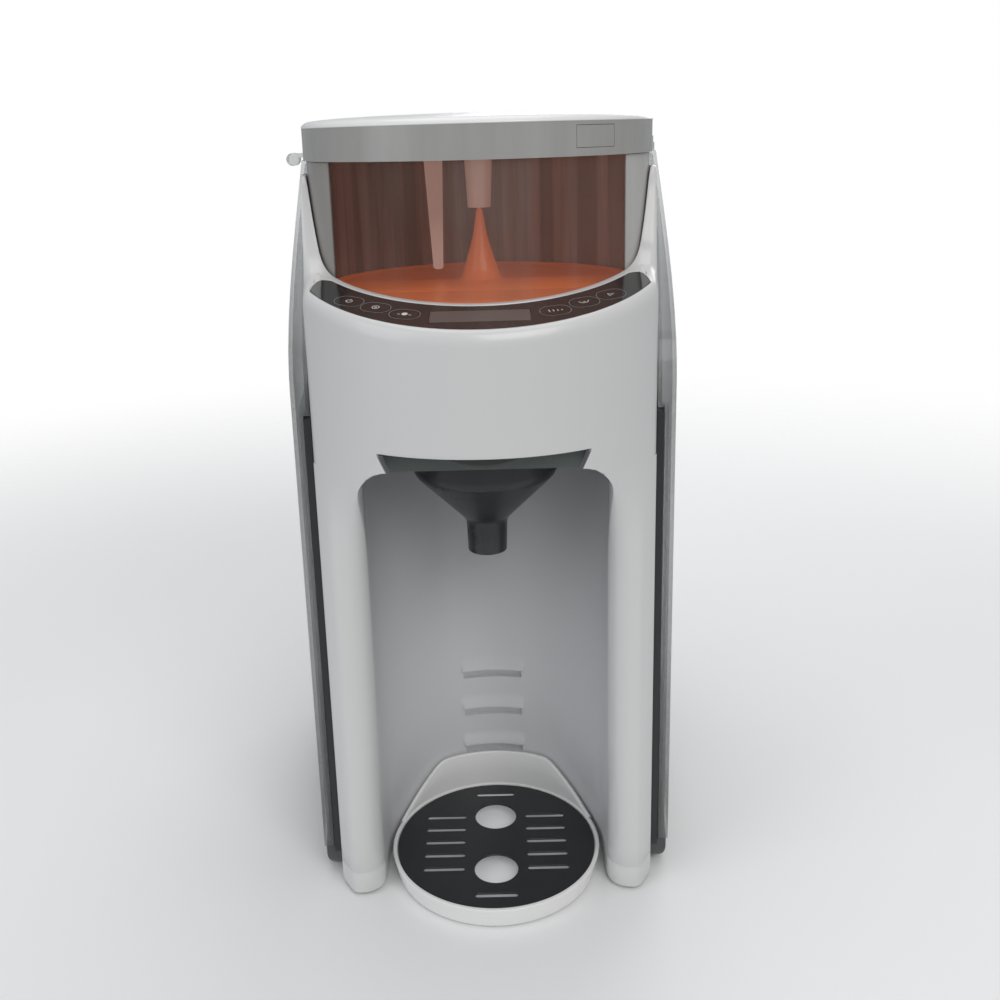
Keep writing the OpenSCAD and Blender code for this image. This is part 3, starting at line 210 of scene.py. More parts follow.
def new_object(name, verts, faces, mats, smooth=True, angle=40):
    mesh = bpy.data.meshes.new(name)
    mesh.from_pydata([tuple(float(c) * MM for c in v) for v in verts], [], faces)
    mesh.update()
    bm = bmesh.new()
    bm.from_mesh(mesh)
    bmesh.ops.remove_doubles(bm, verts=bm.verts, dist=0.000004)
    bmesh.ops.dissolve_degenerate(bm, dist=0.000004, edges=bm.edges)
    bmesh.ops.recalc_face_normals(bm, faces=bm.faces)
    bm.to_mesh(mesh)
    bm.free()
    for m in mats if isinstance(mats, (list, tuple)) else [mats]:
        mesh.materials.append(m.mat)
    if smooth:
        mesh.shade_smooth()
        mesh.set_sharp_from_angle(angle=math.radians(angle))
    obj = bpy.data.objects.new(name, mesh)
    bpy.context.scene.collection.objects.link(obj)
    return obj


def grid(name, rows, mats, wrap_u=False, wrap_v=False, angle=40):
    """A skin through rows of points, all rows the same length."""
    n, m = len(rows), len(rows[0])
    verts = [p for row in rows for p in row]
    faces = []
    for i in range(n if wrap_v else n - 1):
        for j in range(m if wrap_u else m - 1):
            a, b = i * m + j, i * m + (j + 1) % m
            c, d = ((i + 1) % n) * m + (j + 1) % m, ((i + 1) % n) * m + j
            faces.append((a, b, c, d))
    return new_object(name, verts, faces, mats, angle=angle)


def lathe(name, profile, mats, centre=(0, 0), seg=160, closed=True, angle=40):
    """A profile of (r, z) points turned about a vertical axis."""
    rows = []
    for k in range(seg):
        a = 2 * math.pi * k / seg
        rows.append([(centre[0] + r * math.cos(a), centre[1] + r * math.sin(a), z) for r, z in profile])
    return grid(name, rows, mats, wrap_u=closed, wrap_v=True, angle=angle)


def round_profile(points, radius=0.6, steps=4):
    """Rounds the corners of a closed (r, z) outline. A point may carry its own radius as a third value."""
    out = []
    n = len(points)
    for i in range(n):
        p0, p1, p2 = (np.array(points[(i + k) % n][:2], float) for k in (-1, 0, 1))
        r = points[i][2] if len(points[i]) > 2 else radius
        a, b = p0 - p1, p2 - p1
        la, lb = np.linalg.norm(a), np.linalg.norm(b)
        if r <= 0 or la < 1e-6 or lb < 1e-6:
            out.append(tuple(p1))
            continue
        d = min(r, la * 0.45, lb * 0.45)
        s, e = p1 + a / la * d, p1 + b / lb * d
        for k in range(steps + 1):
            t = k / steps
            out.append(tuple((1 - t) ** 2 * s + 2 * t * (1 - t) * p1 + t * t * e))
    return out


def loft(name, loops, mats, holes=(), angle=40):
    """A solid through closed loops of points, capped at both ends. Each hole is (end, loop), cut in that cap."""
    bm = bmesh.new()

    def ring(points):
        vs = [bm.verts.new([c * MM for c in p]) for p in points]
        return vs, [bm.edges.new((vs[i], vs[(i + 1) % len(vs)])) for i in range(len(vs))]

    rings = [ring(lp) for lp in loops]
    for (a, _), (b, _) in zip(rings, rings[1:]):
        for i in range(len(a)):
            j = (i + 1) % len(a)
            bm.faces.new((a[i], a[j], b[j], b[i]))
    for end in (0, -1):
        edges = list(rings[end][1])
        for which, lp in holes:
            if which == end:
                edges += ring(lp)[1]
        bmesh.ops.triangle_fill(bm, use_beauty=True, edges=edges, normal=(0, 0, 1))
    bmesh.ops.recalc_face_normals(bm, faces=bm.faces)
    mesh = bpy.data.meshes.new(name)
    bm.to_mesh(mesh)
    bm.free()
    for m in mats if isinstance(mats, (list, tuple)) else [mats]:
        mesh.materials.append(m.mat)
    mesh.shade_smooth()
    mesh.set_sharp_from_angle(angle=math.radians(angle))
    obj = bpy.data.objects.new(name, mesh)
    bpy.context.scene.collection.objects.link(obj)
    return obj


def pierced(name, outer, holes, levels, mats, angle=40):
    """A plate with holes. Each outline is a function of how far it is grown, and levels are (grow, z)."""
    bm = bmesh.new()
    stack = []
    for grow, z in levels:
        loops = []
        for k, make in enumerate([outer, *holes]):
            vs = [bm.verts.new((x * MM, y * MM, z * MM)) for x, y in make(-grow if k == 0 else grow)]
            loops.append((vs, [bm.edges.new((vs[i], vs[(i + 1) % len(vs)])) for i in range(len(vs))]))
        stack.append(loops)
    for low, high in zip(stack, stack[1:]):
        for (a, _), (b, _) in zip(low, high):
            for i in range(len(a)):
                j = (i + 1) % len(a)
                bm.faces.new((a[i], a[j], b[j], b[i]))
    for loops in (stack[0], stack[-1]):
        bmesh.ops.triangle_fill(bm, use_beauty=True, edges=[e for _, es in loops for e in es], normal=(0, 0, 1))
    bmesh.ops.recalc_face_normals(bm, faces=bm.faces)
    mesh = bpy.data.meshes.new(name)
    bm.to_mesh(mesh)
    bm.free()
    mesh.materials.append(mats.mat)
    mesh.shade_smooth()
    mesh.set_sharp_from_angle(angle=math.radians(angle))
    obj = bpy.data.objects.new(name, mesh)
    bpy.context.scene.collection.objects.link(obj)
    return obj


def round_at(cx, cy, r, n=48):
    return lambda g: [(cx + (r + g) * math.cos(2 * math.pi * k / n), cy + (r + g) * math.sin(2 * math.pi * k / n))
                      for k in range(n)]


def slot_at(cx, cy, length, width, n=10):
    def make(g):
        r, w = width / 2 + g, (length - width) / 2
        right = [(cx + w + r * math.cos(a), cy + r * math.sin(a)) for a in
                 [math.pi * (k / n - 0.5) for k in range(n + 1)]]
        left = [(cx - w + r * math.cos(a), cy + r * math.sin(a)) for a in
                [math.pi * (k / n + 0.5) for k in range(n + 1)]]
        return right + left
    return make


def lathe_y(name, profile, mats, cx, cz, seg=64, angle=40):
    """A closed profile of (r, y) points turned about an axis that runs front to back."""
    rows = []
    for k in range(seg):
        a = 2 * math.pi * k / seg
        rows.append([(cx + r * math.cos(a), y, cz + r * math.sin(a)) for r, y in profile])
    return grid(name, rows, mats, wrap_u=True, wrap_v=True, angle=angle)


def smooth01(t):
    t = min(max(t, 0.0), 1.0)
    return t * t * (3 - 2 * t)


def dress(node, paint):
    """Gives a CAD node its material."""
    obj = NODES[node]
    obj.data.materials.clear()
    obj.data.materials.append(paint.mat)
    return obj


def soften(node, width=0.4, angle=35, segments=2):
    """Breaks the sharp edges of a CAD node with a small bevel."""
    obj = NODES[node]
    weld = obj.modifiers.new("weld", "WELD")
    weld.merge_threshold = 0.00001
    bevel = obj.modifiers.new("bevel", "BEVEL")
    bevel.width = width * MM
    bevel.segments = segments
    bevel.limit_method = "ANGLE"
    bevel.angle_limit = math.radians(angle)
    bevel.harden_normals = False
    return obj


# ---------- the main sizes, in mm, as in the part ----------

FRONT = -169.0
R_CASE, CASE_Y = 100.0, -69.0
HALF_W = 87.0
CORNER_Y = CASE_Y - math.sqrt(R_CASE ** 2 - HALF_W ** 2)
FLARE = math.tan(math.radians(6))
BAY_R, BAY_Y, BAY_TOP = 62.5, -100.5, 250.0
NOTCH_H, NOTCH_W = 14.0, 51.0
DRUM_R, DRUM_Y = 91.0, -44.0
WELL_R = 92.0
HEAD_BACK = DRUM_Y + DRUM_R + 2.6 + 0.4
LEDGE_Z, TILT = 323.0, math.radians(15)
LEDGE_BACK = FRONT + 68
HORN_Z = 390.0
SCOOP_R, SCOOP_END = 24.5, math.radians(66)
LEG_R = (HALF_W - BAY_R) / 2
LEG_X = BAY_R + LEG_R


def side_x(y):
    return HALF_W + (min(y, DRUM_Y) - CORNER_Y) * FLARE


# ---------- materials ----------

white = plastic("casing_white", (0.665, 0.662, 0.66), 0.3, vary=0.03, coat=0.25)
liner_white = plastic("liner_white", (0.66, 0.675, 0.70), 0.38, vary=0.03, coat=0.15)
dark = plastic("housing_dark", (0.022, 0.024, 0.028), 0.42, vary=0.3, grain=0.00004, grain_scale=500)
smoke_base = plastic("base_smoke", (0.06, 0.062, 0.064), 0.3, vary=0.2, coat=0.3)
rubber = plastic("rubber_black", (0.014, 0.014, 0.014), 0.75, vary=0.3, grain=0.00006)
steel = metal("steel", (0.55, 0.55, 0.57), 0.3)
inner_white = plastic("inner_white", (0.62, 0.62, 0.6), 0.45)
wheel_white = plastic("wheel_white", (0.6, 0.6, 0.57), 0.45)
board = plastic("board_green", (0.012, 0.11, 0.05), 0.45, vary=0.3)
gear_cream = plastic("gear_cream", (0.62, 0.58, 0.45), 0.45)
valve_red = plastic("valve_red", (0.45, 0.05, 0.03), 0.4)
float_orange = plastic("float_orange", (0.75, 0.25, 0.04), 0.4)
motor_grey = metal("motor_metal", (0.4, 0.41, 0.43), 0.38)
pump_black = plastic("pump_black", (0.02, 0.02, 0.022), 0.45, vary=0.3)
cast_metal = metal("heater_metal", (0.62, 0.63, 0.65), 0.42)
silicone = plastic("tube_silicone", (0.6, 0.6, 0.56), 0.5)
stand_white = plastic("stand_white", (0.87, 0.87, 0.86), 0.32, vary=0.03, coat=0.25)
# Painted light: the drip dish glows a little so that it shows bright through the grille's slots.
dish_white_glowing = plastic("dish_white_glowing", (0.86, 0.86, 0.86), 0.3, vary=0.03, Emission_Color=(0.85, 0.88, 0.9, 1),
                     Emission_Strength=0.16)
lid_white = plastic("lid_white", (0.8, 0.795, 0.785), 0.34, vary=0.03, coat=0.2)
grille_black = plastic("grille_black", (0.01, 0.013, 0.015), 0.4, vary=0.3, grain=0.00003, coat=0.05)
panel_black = plastic("panel_black", (0.028, 0.0275, 0.0275), 0.08, vary=0.15, grain=0.000002, coat=0.5)
key_black = plastic("key_black", (0.03, 0.028, 0.0275), 0.12, vary=0.15, grain=0.000002, coat=0.45)
window_dark = plastic("window_dark", (0.12, 0.105, 0.1), 0.16, vary=0.1, grain=0.000002, coat=0.5)
mark_dim = plastic("mark_dim", (0.26, 0.25, 0.24), 0.35)
mark_white = plastic("mark_white", (0.72, 0.7, 0.68), 0.4)
# Painted light: the orange of the front half plate and cone is the lit copy, and the deeper orange of the disc the
# shaded copy, of one plastic; both glow a little to brighten them.
orange = plastic("wheel_orange", (0.8, 0.2, 0.06), 0.42, vary=0.1, grain=0.00003, coat=0.12,
                 Emission_Color=(0.85, 0.2, 0.06, 1), Emission_Strength=0.12)
orange_shaded = plastic("wheel_orange_shaded", (0.68, 0.17, 0.06), 0.45, vary=0.12, grain=0.00003,
                      Emission_Color=(0.7, 0.16, 0.06, 1), Emission_Strength=0.14)
# Paint of the painted shadow line behind the wheel's front half plate.
shadow_line_paint = plastic("wheel_shadow_dark", (0.05, 0.016, 0.01), 0.6, vary=0.2)
# Painted light: the hub glows a little to brighten it.
hub_clear = plastic("hub_clear", (0.82, 0.64, 0.56), 0.35, vary=0.1, Emission_Color=(0.5, 0.36, 0.3, 1),
                    Emission_Strength=0.12)
funnel_smoke = clear("funnel_smoke", (0.022, 0.025, 0.028), 0.82, 0.26, 0.18)
plate_smoke = clear("plate_smoke", (0.1, 0.114, 0.108), 0.93, 0.24, 0.07)
tank_lid_clear = clear("tank_lid_clear", (0.5, 0.52, 0.52), 0.4, 0.12, 0.4)
tab_grey = plastic("tab_grey", (0.5, 0.52, 0.52), 0.3, coat=0.2)


def bay_paint():
    """White plastic of the bay's wall, with painted shade making it greyer towards its ceiling."""
    p = Paint("bay_white", (0.6, 0.6, 0.61), 0.34)
    x, y, z = p.place()
    # Painted shade: the wall darkens towards the bay's ceiling, where the ceiling shades it.
    high = (z + p.noise(6, 2) * 0.01).ramp(0.055, 0.235)
    p.set("Base Color", p.mix(high, (0.66, 0.665, 0.68), (0.43, 0.43, 0.44)))
    p.set("Roughness", 0.3 + p.noise(28, 4, 0.6) * 0.1)
    p.set("Coat Weight", 0.15)
    p.bump(p.noise(900, 2), 0.00002)
    return p


def drum_paint():
    """Smoky clear drum: clear in front, brown and streaky round the back, frosted at the two sides, with painted light
    making its right side paler than its left.
    """
    p = Paint("drum_smoke", (0.1, 0.06, 0.045), 0.09)
    x, y, z = p.place()
    streak = p.noise(1.0, 4, 0.6, at=p.point(x * 70, y * 70, z * 2.5))
    wide = p.noise(1.0, 2, 0.5, at=p.point(x * 26, y * 26, z * 1.2))
    # Painted light: the drum's colours grow paler from its left side to its right, where the key light falls.
    right_lit = x.ramp(-0.08, 0.08)
    deep = p.mix(right_lit, (0.24, 0.178, 0.148), (0.38, 0.305, 0.265))
    pale = p.mix(right_lit, (0.42, 0.35, 0.31), (0.62, 0.54, 0.5))
    brown = p.mix((streak - 0.42).ramp(0.0, 0.25), deep, pale)
    grey_deep = p.mix(right_lit, (0.28, 0.265, 0.25), (0.44, 0.44, 0.42))
    grey_pale = p.mix(right_lit, (0.4, 0.385, 0.365), (0.62, 0.61, 0.59))
    grey = p.mix(streak, grey_deep, grey_pale)
    fore = 1.0 - y.ramp(-0.047, -0.044)
    side = x.abs().ramp(0.0722, 0.0732) * fore
    seam = (x.abs() - 0.0722).abs().lt(0.00035) * fore
    p.set("Base Color", p.mix(seam * 0.7, p.mix(side, brown, grey), (0.12, 0.06, 0.045)))
    back = y.ramp(-0.05, -0.03)
    glaze = (wide - 0.45).ramp(0.0, 0.3)
    p.set("Alpha", (0.06 + back * 0.9 + side * 0.78 + glaze * 0.06).clamp())
    p.set("Roughness", 0.1 + side * 0.2 + streak * 0.05)
    p.bump(streak, 0.00004)
    return p


def band_paint():
    """Grey translucent band of the lid, with faint upright streaks."""
    p = Paint("lid_band_grey", (0.4, 0.4, 0.385), 0.2)
    x, y, z = p.place()
    streak = p.noise(1.0, 4, 0.6, at=p.point(x * 60, y * 60, z * 6))
    p.set("Base Color", p.mix(streak, (0.31, 0.31, 0.295), (0.46, 0.455, 0.44)))
    p.set("Alpha", 0.9)
    p.set("Roughness", 0.16 + streak * 0.12)
    p.bump(streak, 0.00006)
    return p


def tank_paint():
    """Clear tank: a little smokier along its two arms in front, glossy where it is seen along its wall."""
    p = Paint("tank_clear", (0.45, 0.47, 0.47), 0.05)
    x, y, z = p.place()
    fore = 1.0 - y.ramp(-0.1, 0.02)
    facing = p.node("LayerWeight", out=1, Blend=0.32)
    p.set("Base Color", p.mix(fore, (0.5, 0.525, 0.53), (0.24, 0.255, 0.25)))
    p.set("Alpha", (0.085 + fore * 0.235 + facing * 0.5).clamp())
    p.set("Roughness", 0.03 + p.noise(30, 3) * 0.05)
    p.bump(p.noise(14, 2), 0.0005)
    return p


tank_clear = tank_paint()
bay_white = bay_paint()
drum_smoke = drum_paint()
band_grey = band_paint()

for node, paint in {
    "rear_housing": dark, "base_housing": smoke_base, "base_plate": smoke_base, "rubber_feet": rubber,
    "base_screws": steel, "control_panel": panel_black, "display_window": window_dark,
    "display_module": window_dark, "panel_board": board, "power_key": key_black, "heat_key": key_black,
    "info_key": key_black, "volume_key": key_black, "powder_key": key_black, "start_key": key_black,
    "powder_drum": drum_smoke, "drum_base": inner_white, "powder_outlet": inner_white,
    "stir_wheel": orange, "powder_wheel": wheel_white,
    "lid_top": lid_white, "lid_band": band_grey, "lid_hub": hub_clear, "lid_latch": band_grey,
    "drum_deck": inner_white, "drive_shaft": steel, "drive_gear": gear_cream, "motor_pinion": steel,
    "gear_motor": motor_grey, "powder_chute": inner_white, "funnel_plate": plate_smoke,
    "funnel": funnel_smoke, "bottle_stand": stand_white, "drip_dish": dish_white_glowing,
    "drip_grille": grille_black, "water_tank": tank_clear,
    "tank_arm_right": tank_clear, "tank_arm_left": tank_clear,
    "tank_lid": tank_lid_clear,
    "valve_body": inner_white, "valve_poppet": valve_red, "valve_spring": steel, "valve_seal": rubber,
    "tank_float": float_orange, "tank_socket": inner_white, "water_pump": pump_black,
    "heater_block": cast_metal, "heater_clamp": steel, "suction_tube": silicone, "pump_tube": silicone,
    "hot_tube": silicone, "water_nozzle": inner_white, "inner_chassis": inner_white,
    "main_board": board, "power_board": board, "drum_switch": pump_black, "cord_gland": rubber,
    "front_casing": white, "bay_liner": liner_white,
}.items():
    dress(node, paint)


# ---------- casing: head ----------

def ledge_at(y):
    return LEDGE_Z + (y - FRONT) * math.tan(TILT)


ARC_Y = LEDGE_BACK - SCOOP_R * math.sin(TILT)
ARC_Z = ledge_at(LEDGE_BACK) + SCOOP_R * math.cos(TILT)


def top_at(y):
    """Height of the casing's top at that depth: ledge, scoop, then the horns beside the drum."""
    if y <= LEDGE_BACK:
        return ledge_at(y)
    y_end = ARC_Y + SCOOP_R * math.sin(SCOOP_END)
    if y <= y_end:
        return ARC_Z - math.sqrt(SCOOP_R ** 2 - (y - ARC_Y) ** 2)
    z = ARC_Z - SCOOP_R * math.cos(SCOOP_END) + (y - y_end) * math.tan(SCOOP_END)
    bend = 12.0
    if z < HORN_Z - bend:
        return z
    t = (z - (HORN_Z - bend)) / (2 * bend)
    return HORN_Z - bend + bend * (2 * t - t * t) if t < 1 else HORN_Z


def ray_out(phi, grow=0.0):
    """Distance from the drum's axis to the casing's outline along a direction, 0 being the front."""
    s, c = math.sin(phi), math.cos(phi)
    best = 1e9
    # front circle
    b = c * (DRUM_Y - CASE_Y)
    q = (DRUM_Y - CASE_Y) ** 2 - R_CASE ** 2
    rho = b + math.sqrt(b * b - q)
    y = DRUM_Y - rho * c
    if y <= CORNER_Y:
        best = rho
    else:
        x_wide = side_x(DRUM_Y)
        # side: |x| = side_x(y)
        if abs(s) > 1e-9:
            lo, hi = 60.0, 200.0
            for _ in range(40):
                mid = (lo + hi) / 2
                if mid * abs(s) < side_x(DRUM_Y - mid * c):
                    lo = mid
                else:
                    hi = mid
            best = lo
        # back wall with round corners
        if c < 0:
            rr = 18.0
            yb = HEAD_BACK
            rho_b = (yb - DRUM_Y) / -c
            best = min(best, rho_b)
            cx, cy = x_wide - rr, yb - rr - DRUM_Y
            px, py = best * abs(s), -best * c
            if px > cx and py > cy:
                bb = abs(s) * cx - c * cy
                qq = cx * cx + cy * cy - rr * rr
                best = bb + math.sqrt(max(bb * bb - qq, 0))
    return best + grow


def phi_list():
    pts = set()
    for i in range(-360, 360):
        pts.add(round(i * 0.5, 4))
    # more directions where the outline or the panel turns quickly
    for extra in (52.2, 54.41, 22.5, 23.0, 24.33, 24.4, 24.47, 24.55, 24.6, 53.0, 53.6, 54.0, 54.3, 51.6, 45.2,
                  49.4):
        pts.add(extra)
        pts.add(-extra)
    return [math.radians(v) for v in sorted(pts)]


PHI = phi_list()
_raw = [ray_out(p) for p in PHI]


def smoothed(values, width):
    """Evens a closed run of radii over a few degrees, to round the upright corner."""
    out = []
    for i, p in enumerate(PHI):
        tot = wsum = 0.0
        for j in range(i - 14, i + 15):
            k = j % len(PHI)
            d = abs((PHI[k] - p + math.pi) % (2 * math.pi) - math.pi)
            w = math.exp(-(d / width) ** 2)
            tot += w * values[k]
            wsum += w
        out.append(tot / wsum)
    return out


OUT = [min(a, b) for a, b in zip(smoothed(_raw, math.radians(1.6)), _raw)]


ARCH_R, ARCH_X, ARCH_Z = 19.0, 43.5, 236.5


def arch_at(x):
    """Height of the bay's arch at a width: a round corner below a flat middle."""
    d = max(abs(x) - ARCH_X, 0.0)
    return ARCH_Z + math.sqrt(max(ARCH_R ** 2 - d * d, 0.0))


def bottom_at(x, y):
    """Lower edge of the fascia: the arch of the bay, raised over the funnel plate."""
    if y > -110:
        return BAY_TOP
    low = max(arch_at(x), BAY_TOP)
    return low + (BAY_TOP + NOTCH_H - low) * smooth01((51.5 - abs(x)) / 0.3)


TIP_PHI, TIP_SPAN = math.radians(52.4), math.radians(4.2)


def pocket(phi):
    """Inner and outer distance of the panel's pocket along a direction, or None."""
    s, c = abs(math.sin(phi)), math.cos(phi)
    if c <= 0.3:
        return None
    b = c * (DRUM_Y - CASE_Y)
    rp = R_CASE - 4 + 0.4
    q = (DRUM_Y - CASE_Y) ** 2 - rp ** 2
    hi = b + math.sqrt(b * b - q)
    if s > 1e-6:
        hi = min(hi, (HALF_W - 4.5 + 0.4) / s)
    lo = WELL_R + 4.2 - 0.4
    tip = TIP_PHI - abs(phi)
    if tip <= 0 or hi <= lo:
        return None
    if tip < TIP_SPAN:
        f = math.sqrt(1 - (1 - tip / TIP_SPAN) ** 2)
        mid = lo + (hi - lo) * 0.5
        lo, hi = mid - (mid - lo) * f, mid + (hi - mid) * f
    return lo, hi


def head_rows():
    rows = []
    for phi, rho in zip(PHI, OUT):
        s, c = math.sin(phi), math.cos(phi)

        def at(r, z):
            return (r * s, DRUM_Y - r * c, z)

        def pt(r):
            return at(r, top_at(DRUM_Y - r * c))

        def proud(r):
            x, y, z = pt(r)
            return (x, y, z + (0.22 if y < LEDGE_BACK + 4 else 0))

        wide = rho - WELL_R
        rf = min(7.0, 0.42 * wide)
        rh = 3.5 + (rf - 3.5) * smooth01((abs(math.degrees(phi)) - 52) / 9)
        zb = bottom_at(rho * s, DRUM_Y - rho * c)
        col = []
        # inside of the wall, bottom lip, outside
        lip = smooth01((57.6 - abs(rho * s)) / 1.5) if rho * c > 40 else 0.0
        for dr, dz in ((2.6, 8), (2.6, 0.9), (2.3, 0.25), (1.7, 0), (0.9, 0), (0.3, 0.3), (0, 1.1)):
            col.append(at(rho - dr, zb + dz * (lip if dz < 8 else 1)))
        y_rim = DRUM_Y - (rho - rh) * c
        z_rim = top_at(y_rim)
        z_side = min(top_at(DRUM_Y - rho * c), z_rim) - rf
        n_wall = 26
        for k in range(1, n_wall + 1):
            t = k / n_wall
            col.append(at(rho, zb + 1.1 * lip + (z_side - zb - 1.1 * lip) * t))
        for k in range(1, 9):
            a = math.radians(90 * k / 8)
            r = rho - rh * (1 - math.cos(a))
            z = top_at(DRUM_Y - r * c) - rf + rf * math.sin(a)
            if k < 8:
                z = min(z, z_side + (z_rim - z_side) * math.sin(a) * 1.02)
            col.append(at(r, z if k < 8 else z_rim))
        r0 = rho - rh
        pk = pocket(phi)
        if pk:
            lo, hi = pk
            hi = min(hi, r0 - 0.2)
            lo = min(lo, hi - 0.05)
            deep = 2.4
        else:
            mid = WELL_R + 0.5 * (r0 - WELL_R)
            lo, hi, deep = mid - 0.01, mid + 0.01, 0.0
        col.append(pt(r0 + (hi + 0.25 - r0) * 0.5))
        col.append(proud(hi + 0.25))
        x, y, z = pt(hi)
        col.append((x, y, z - min(0.2, deep)))
        col.append((x, y, z - deep))
        for k in range(1, 4):
            x, y, z = pt(hi + (lo - hi) * k / 4)
            col.append((x, y, z - deep))
        x, y, z = pt(lo)
        col.append((x, y, z - deep))
        col.append((x, y, z - min(0.2, deep)))
        col.append(proud(max(lo - 0.25, WELL_R + 1.0)))
        col.append(pt(WELL_R + 0.9))
        x, y, z = pt(WELL_R + 0.3)
        col.append((x, y, z - 0.25))
        x, y, z = pt(WELL_R)
        col.append((x, y, z - 1.0))
        for zz in (0.75, 0.5, 0.25, 0.0):
            col.append(at(WELL_R, 300 + (z - 1.0 - 300) * zz))
        col.append(at(WELL_R + 2.4, 299))
        rows.append(col)
    return rows


head = grid("casing_head", head_rows(), white, wrap_v=True, angle=32)


# ---------- casing: legs ----------

def corner_in(z):
    """How far the bay's wall has come in under its ceiling at a height."""
    t = min(max(z - ARCH_Z, 0.0), ARCH_R)
    return ARCH_R - math.sqrt(ARCH_R ** 2 - t * t)


def leg_section(z, inset=0.0):
    """Closed loop of the right leg at a height, from the bay wall round the nose to the side and back."""
    c_in = corner_in(z)
    w = smooth01((z - 203) / 47)
    xi = BAY_R - c_in + inset
    pts = [(xi + 0.6, y) for y in (-60.0, -75.0, -90.0, -100.0, -108.0, -115.0)] + [(xi + 0.15, -117.6)]
    r = LEG_R - inset
    # nose, from the bay side to where it meets the casing's side
    n = 26
    x_end = HALF_W - inset
    for k in range(n + 1):
        t = k / n
        a = math.pi * t
        nx, ny = LEG_X - r * math.cos(a), CORNER_Y - r * math.sin(a)
        # the casing's front circle, with the same ends
        hx = xi + (x_end - xi) * (0.5 - 0.5 * math.cos(a))
        hy = CASE_Y - math.sqrt(max((R_CASE - inset) ** 2 - min(hx, x_end) ** 2, 0)) + 0.25 * (1 - w)
        if t <= 0.5:
            f = w
        else:
            f = w + (1 - w) * smooth01((t - 0.5) / 0.28)
        fx, fy = nx + (hx - nx) * f, ny + (hy - ny) * f
        pts.append((fx, fy))
    for y in (-112.0, -104.0, -94.0, -84.0, -74.0, -66.5):
        pts.append((side_x(y) - inset, y))
    pts.append((side_x(-66.5) - 3.0, -66.5))
    pts.append((xi + 3.0, -66.5))
    return pts


def leg_rows(side):
    rows = []
    for z, inset in [(1.5, 3.4), (1.5, 1.8), (1.9, 0.7), (2.6, 0.2), (3.6, 0.0), (14.2, 0.0), (14.7, 0.28),
                     (15.2, 0.28), (15.7, 0.0)] + [(16 + 218 * k / 20, 0.0) for k in range(1, 21)] + \
                    [(ARCH_Z + 13.5 * k / 14, 0.0) for k in range(14)] + [(BAY_TOP, 0.0)]:
        rows.append([(side * x, y, z) for x, y in leg_section(z, inset)])
    return rows


legs = []
for side, tag in ((1, "right"), (-1, "left")):
    rows = leg_rows(side)
    leg = grid("casing_leg_" + tag, rows, white, wrap_u=True, angle=35)
    legs.append(leg)

# slanting cheeks of the fascia beside the funnel plate
def cheek_rows(side):
    rows = []
    for k in range(15):
        level = BAY_TOP + 2.6 + (NOTCH_H - 2.0) * k / 14
        x0 = NOTCH_W - 5.4 + 5.4 * (level - BAY_TOP) / NOTCH_H
        x1 = NOTCH_W + 1.2
        col = []
        for x in (x0, x0 + 0.15, x0 + 0.5, (x0 + x1) / 2, x1):
            y = CASE_Y - math.sqrt(R_CASE ** 2 - x * x)
            low = arch_at(x)
            z = low + (BAY_TOP + NOTCH_H + 0.6 - low) * k / 14
            col.append((side * x, y + (0.35 if x == x0 else 0.1 if x < x0 + 0.3 else 0.02), z))
        y = CASE_Y - math.sqrt(R_CASE ** 2 - x1 * x1)
        col += [(side * x1, y + 3, z), (side * x0, y + 2.2, z)]
        rows.append(col)
    return rows


for side, tag in ((1, "right"), (-1, "left")):
    cheek = grid("casing_cheek_" + tag, cheek_rows(side), white, wrap_u=True, angle=35)
    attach(cheek, "machine")

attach(head, "machine")
for leg in legs:
    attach(leg, "machine")
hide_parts("front_casing")


# ---------- bay ----------

LOUVRES = [39.0 + 25.5 * i for i in range(3)]
LOUVRE_HALF = 19.0


def wall_push(x, z):
    """How far the back wall stands out (+) or is sunk (-) at a point, for the louvres."""
    out = 0.0
    fade = smooth01((LOUVRE_HALF + 0.6 - abs(x)) / 1.6)
    for lip in LOUVRES:
        if lip <= z <= lip + 9:
            out = 1.5 * smooth01(1 - (z - lip) / 9) * fade
        if lip - 5.2 < z < lip:
            out = -3.4 * smooth01((LOUVRE_HALF - 1.2 - abs(x)) / 1.0)
    return out


def bay_rows():
    zs = [1.5, 4, 8, 14, 20, 26, 31]
    for lip in LOUVRES:
        zs += [lip - 5.6, lip - 5.25, lip - 5.15, lip - 2.5, lip - 0.06, lip + 0.02, lip + 0.4, lip + 1.2]
        zs += [lip + 2.4 + 0.8 * k for k in range(9)] + [lip + 9.4, lip + 14]
    zs += [110 + (ARCH_Z - 110) * k / 12 for k in range(13)]
    zs += [ARCH_Z + 16.5 * k / 14 for k in range(1, 15)]
    path = []
    for k in range(13):
        path.append((-BAY_R, CORNER_Y + 17.8 * k / 13, (1, 0)))
    for k in range(241):
        a = math.pi * k / 240
        path.append((-BAY_R * math.cos(a), BAY_Y + BAY_R * math.sin(a), (math.cos(a), -math.sin(a))))
    for k in range(1, 14):
        path.append((BAY_R, BAY_Y - 17.8 * k / 13, (-1, 0)))
    rows = []
    for z in sorted(set(zs)):
        c_in = corner_in(z)
        row = []
        for x, y, (nx, ny) in path:
            d = c_in + (wall_push(x, z) if y > BAY_Y + 30 else 0)
            row.append((x + nx * d, y + ny * d, z))
        rows.append(row)
    for d, z in ((11.3, 253.3), (11.6, BAY_TOP), (14, BAY_TOP), (18, BAY_TOP), (23.4, BAY_TOP),
                 (23.4, BAY_TOP + 0.9)):
        rows.append([(x + nx * d, y + ny * d, z) for x, y, (nx, ny) in path])
    # outside of the wall
    rows.append([(x - nx * 1.2, y - ny * 1.2, 254.2) for x, y, (nx, ny) in path])
    rows.append([(x - nx * 1.2, y - ny * 1.2, BAY_TOP - 6) for x, y, (nx, ny) in path])
    return rows


bay = grid("bay_wall", bay_rows(), bay_white, angle=35)
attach(bay, "machine")
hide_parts("bay_liner")

# ---------- powder drum and lid ----------

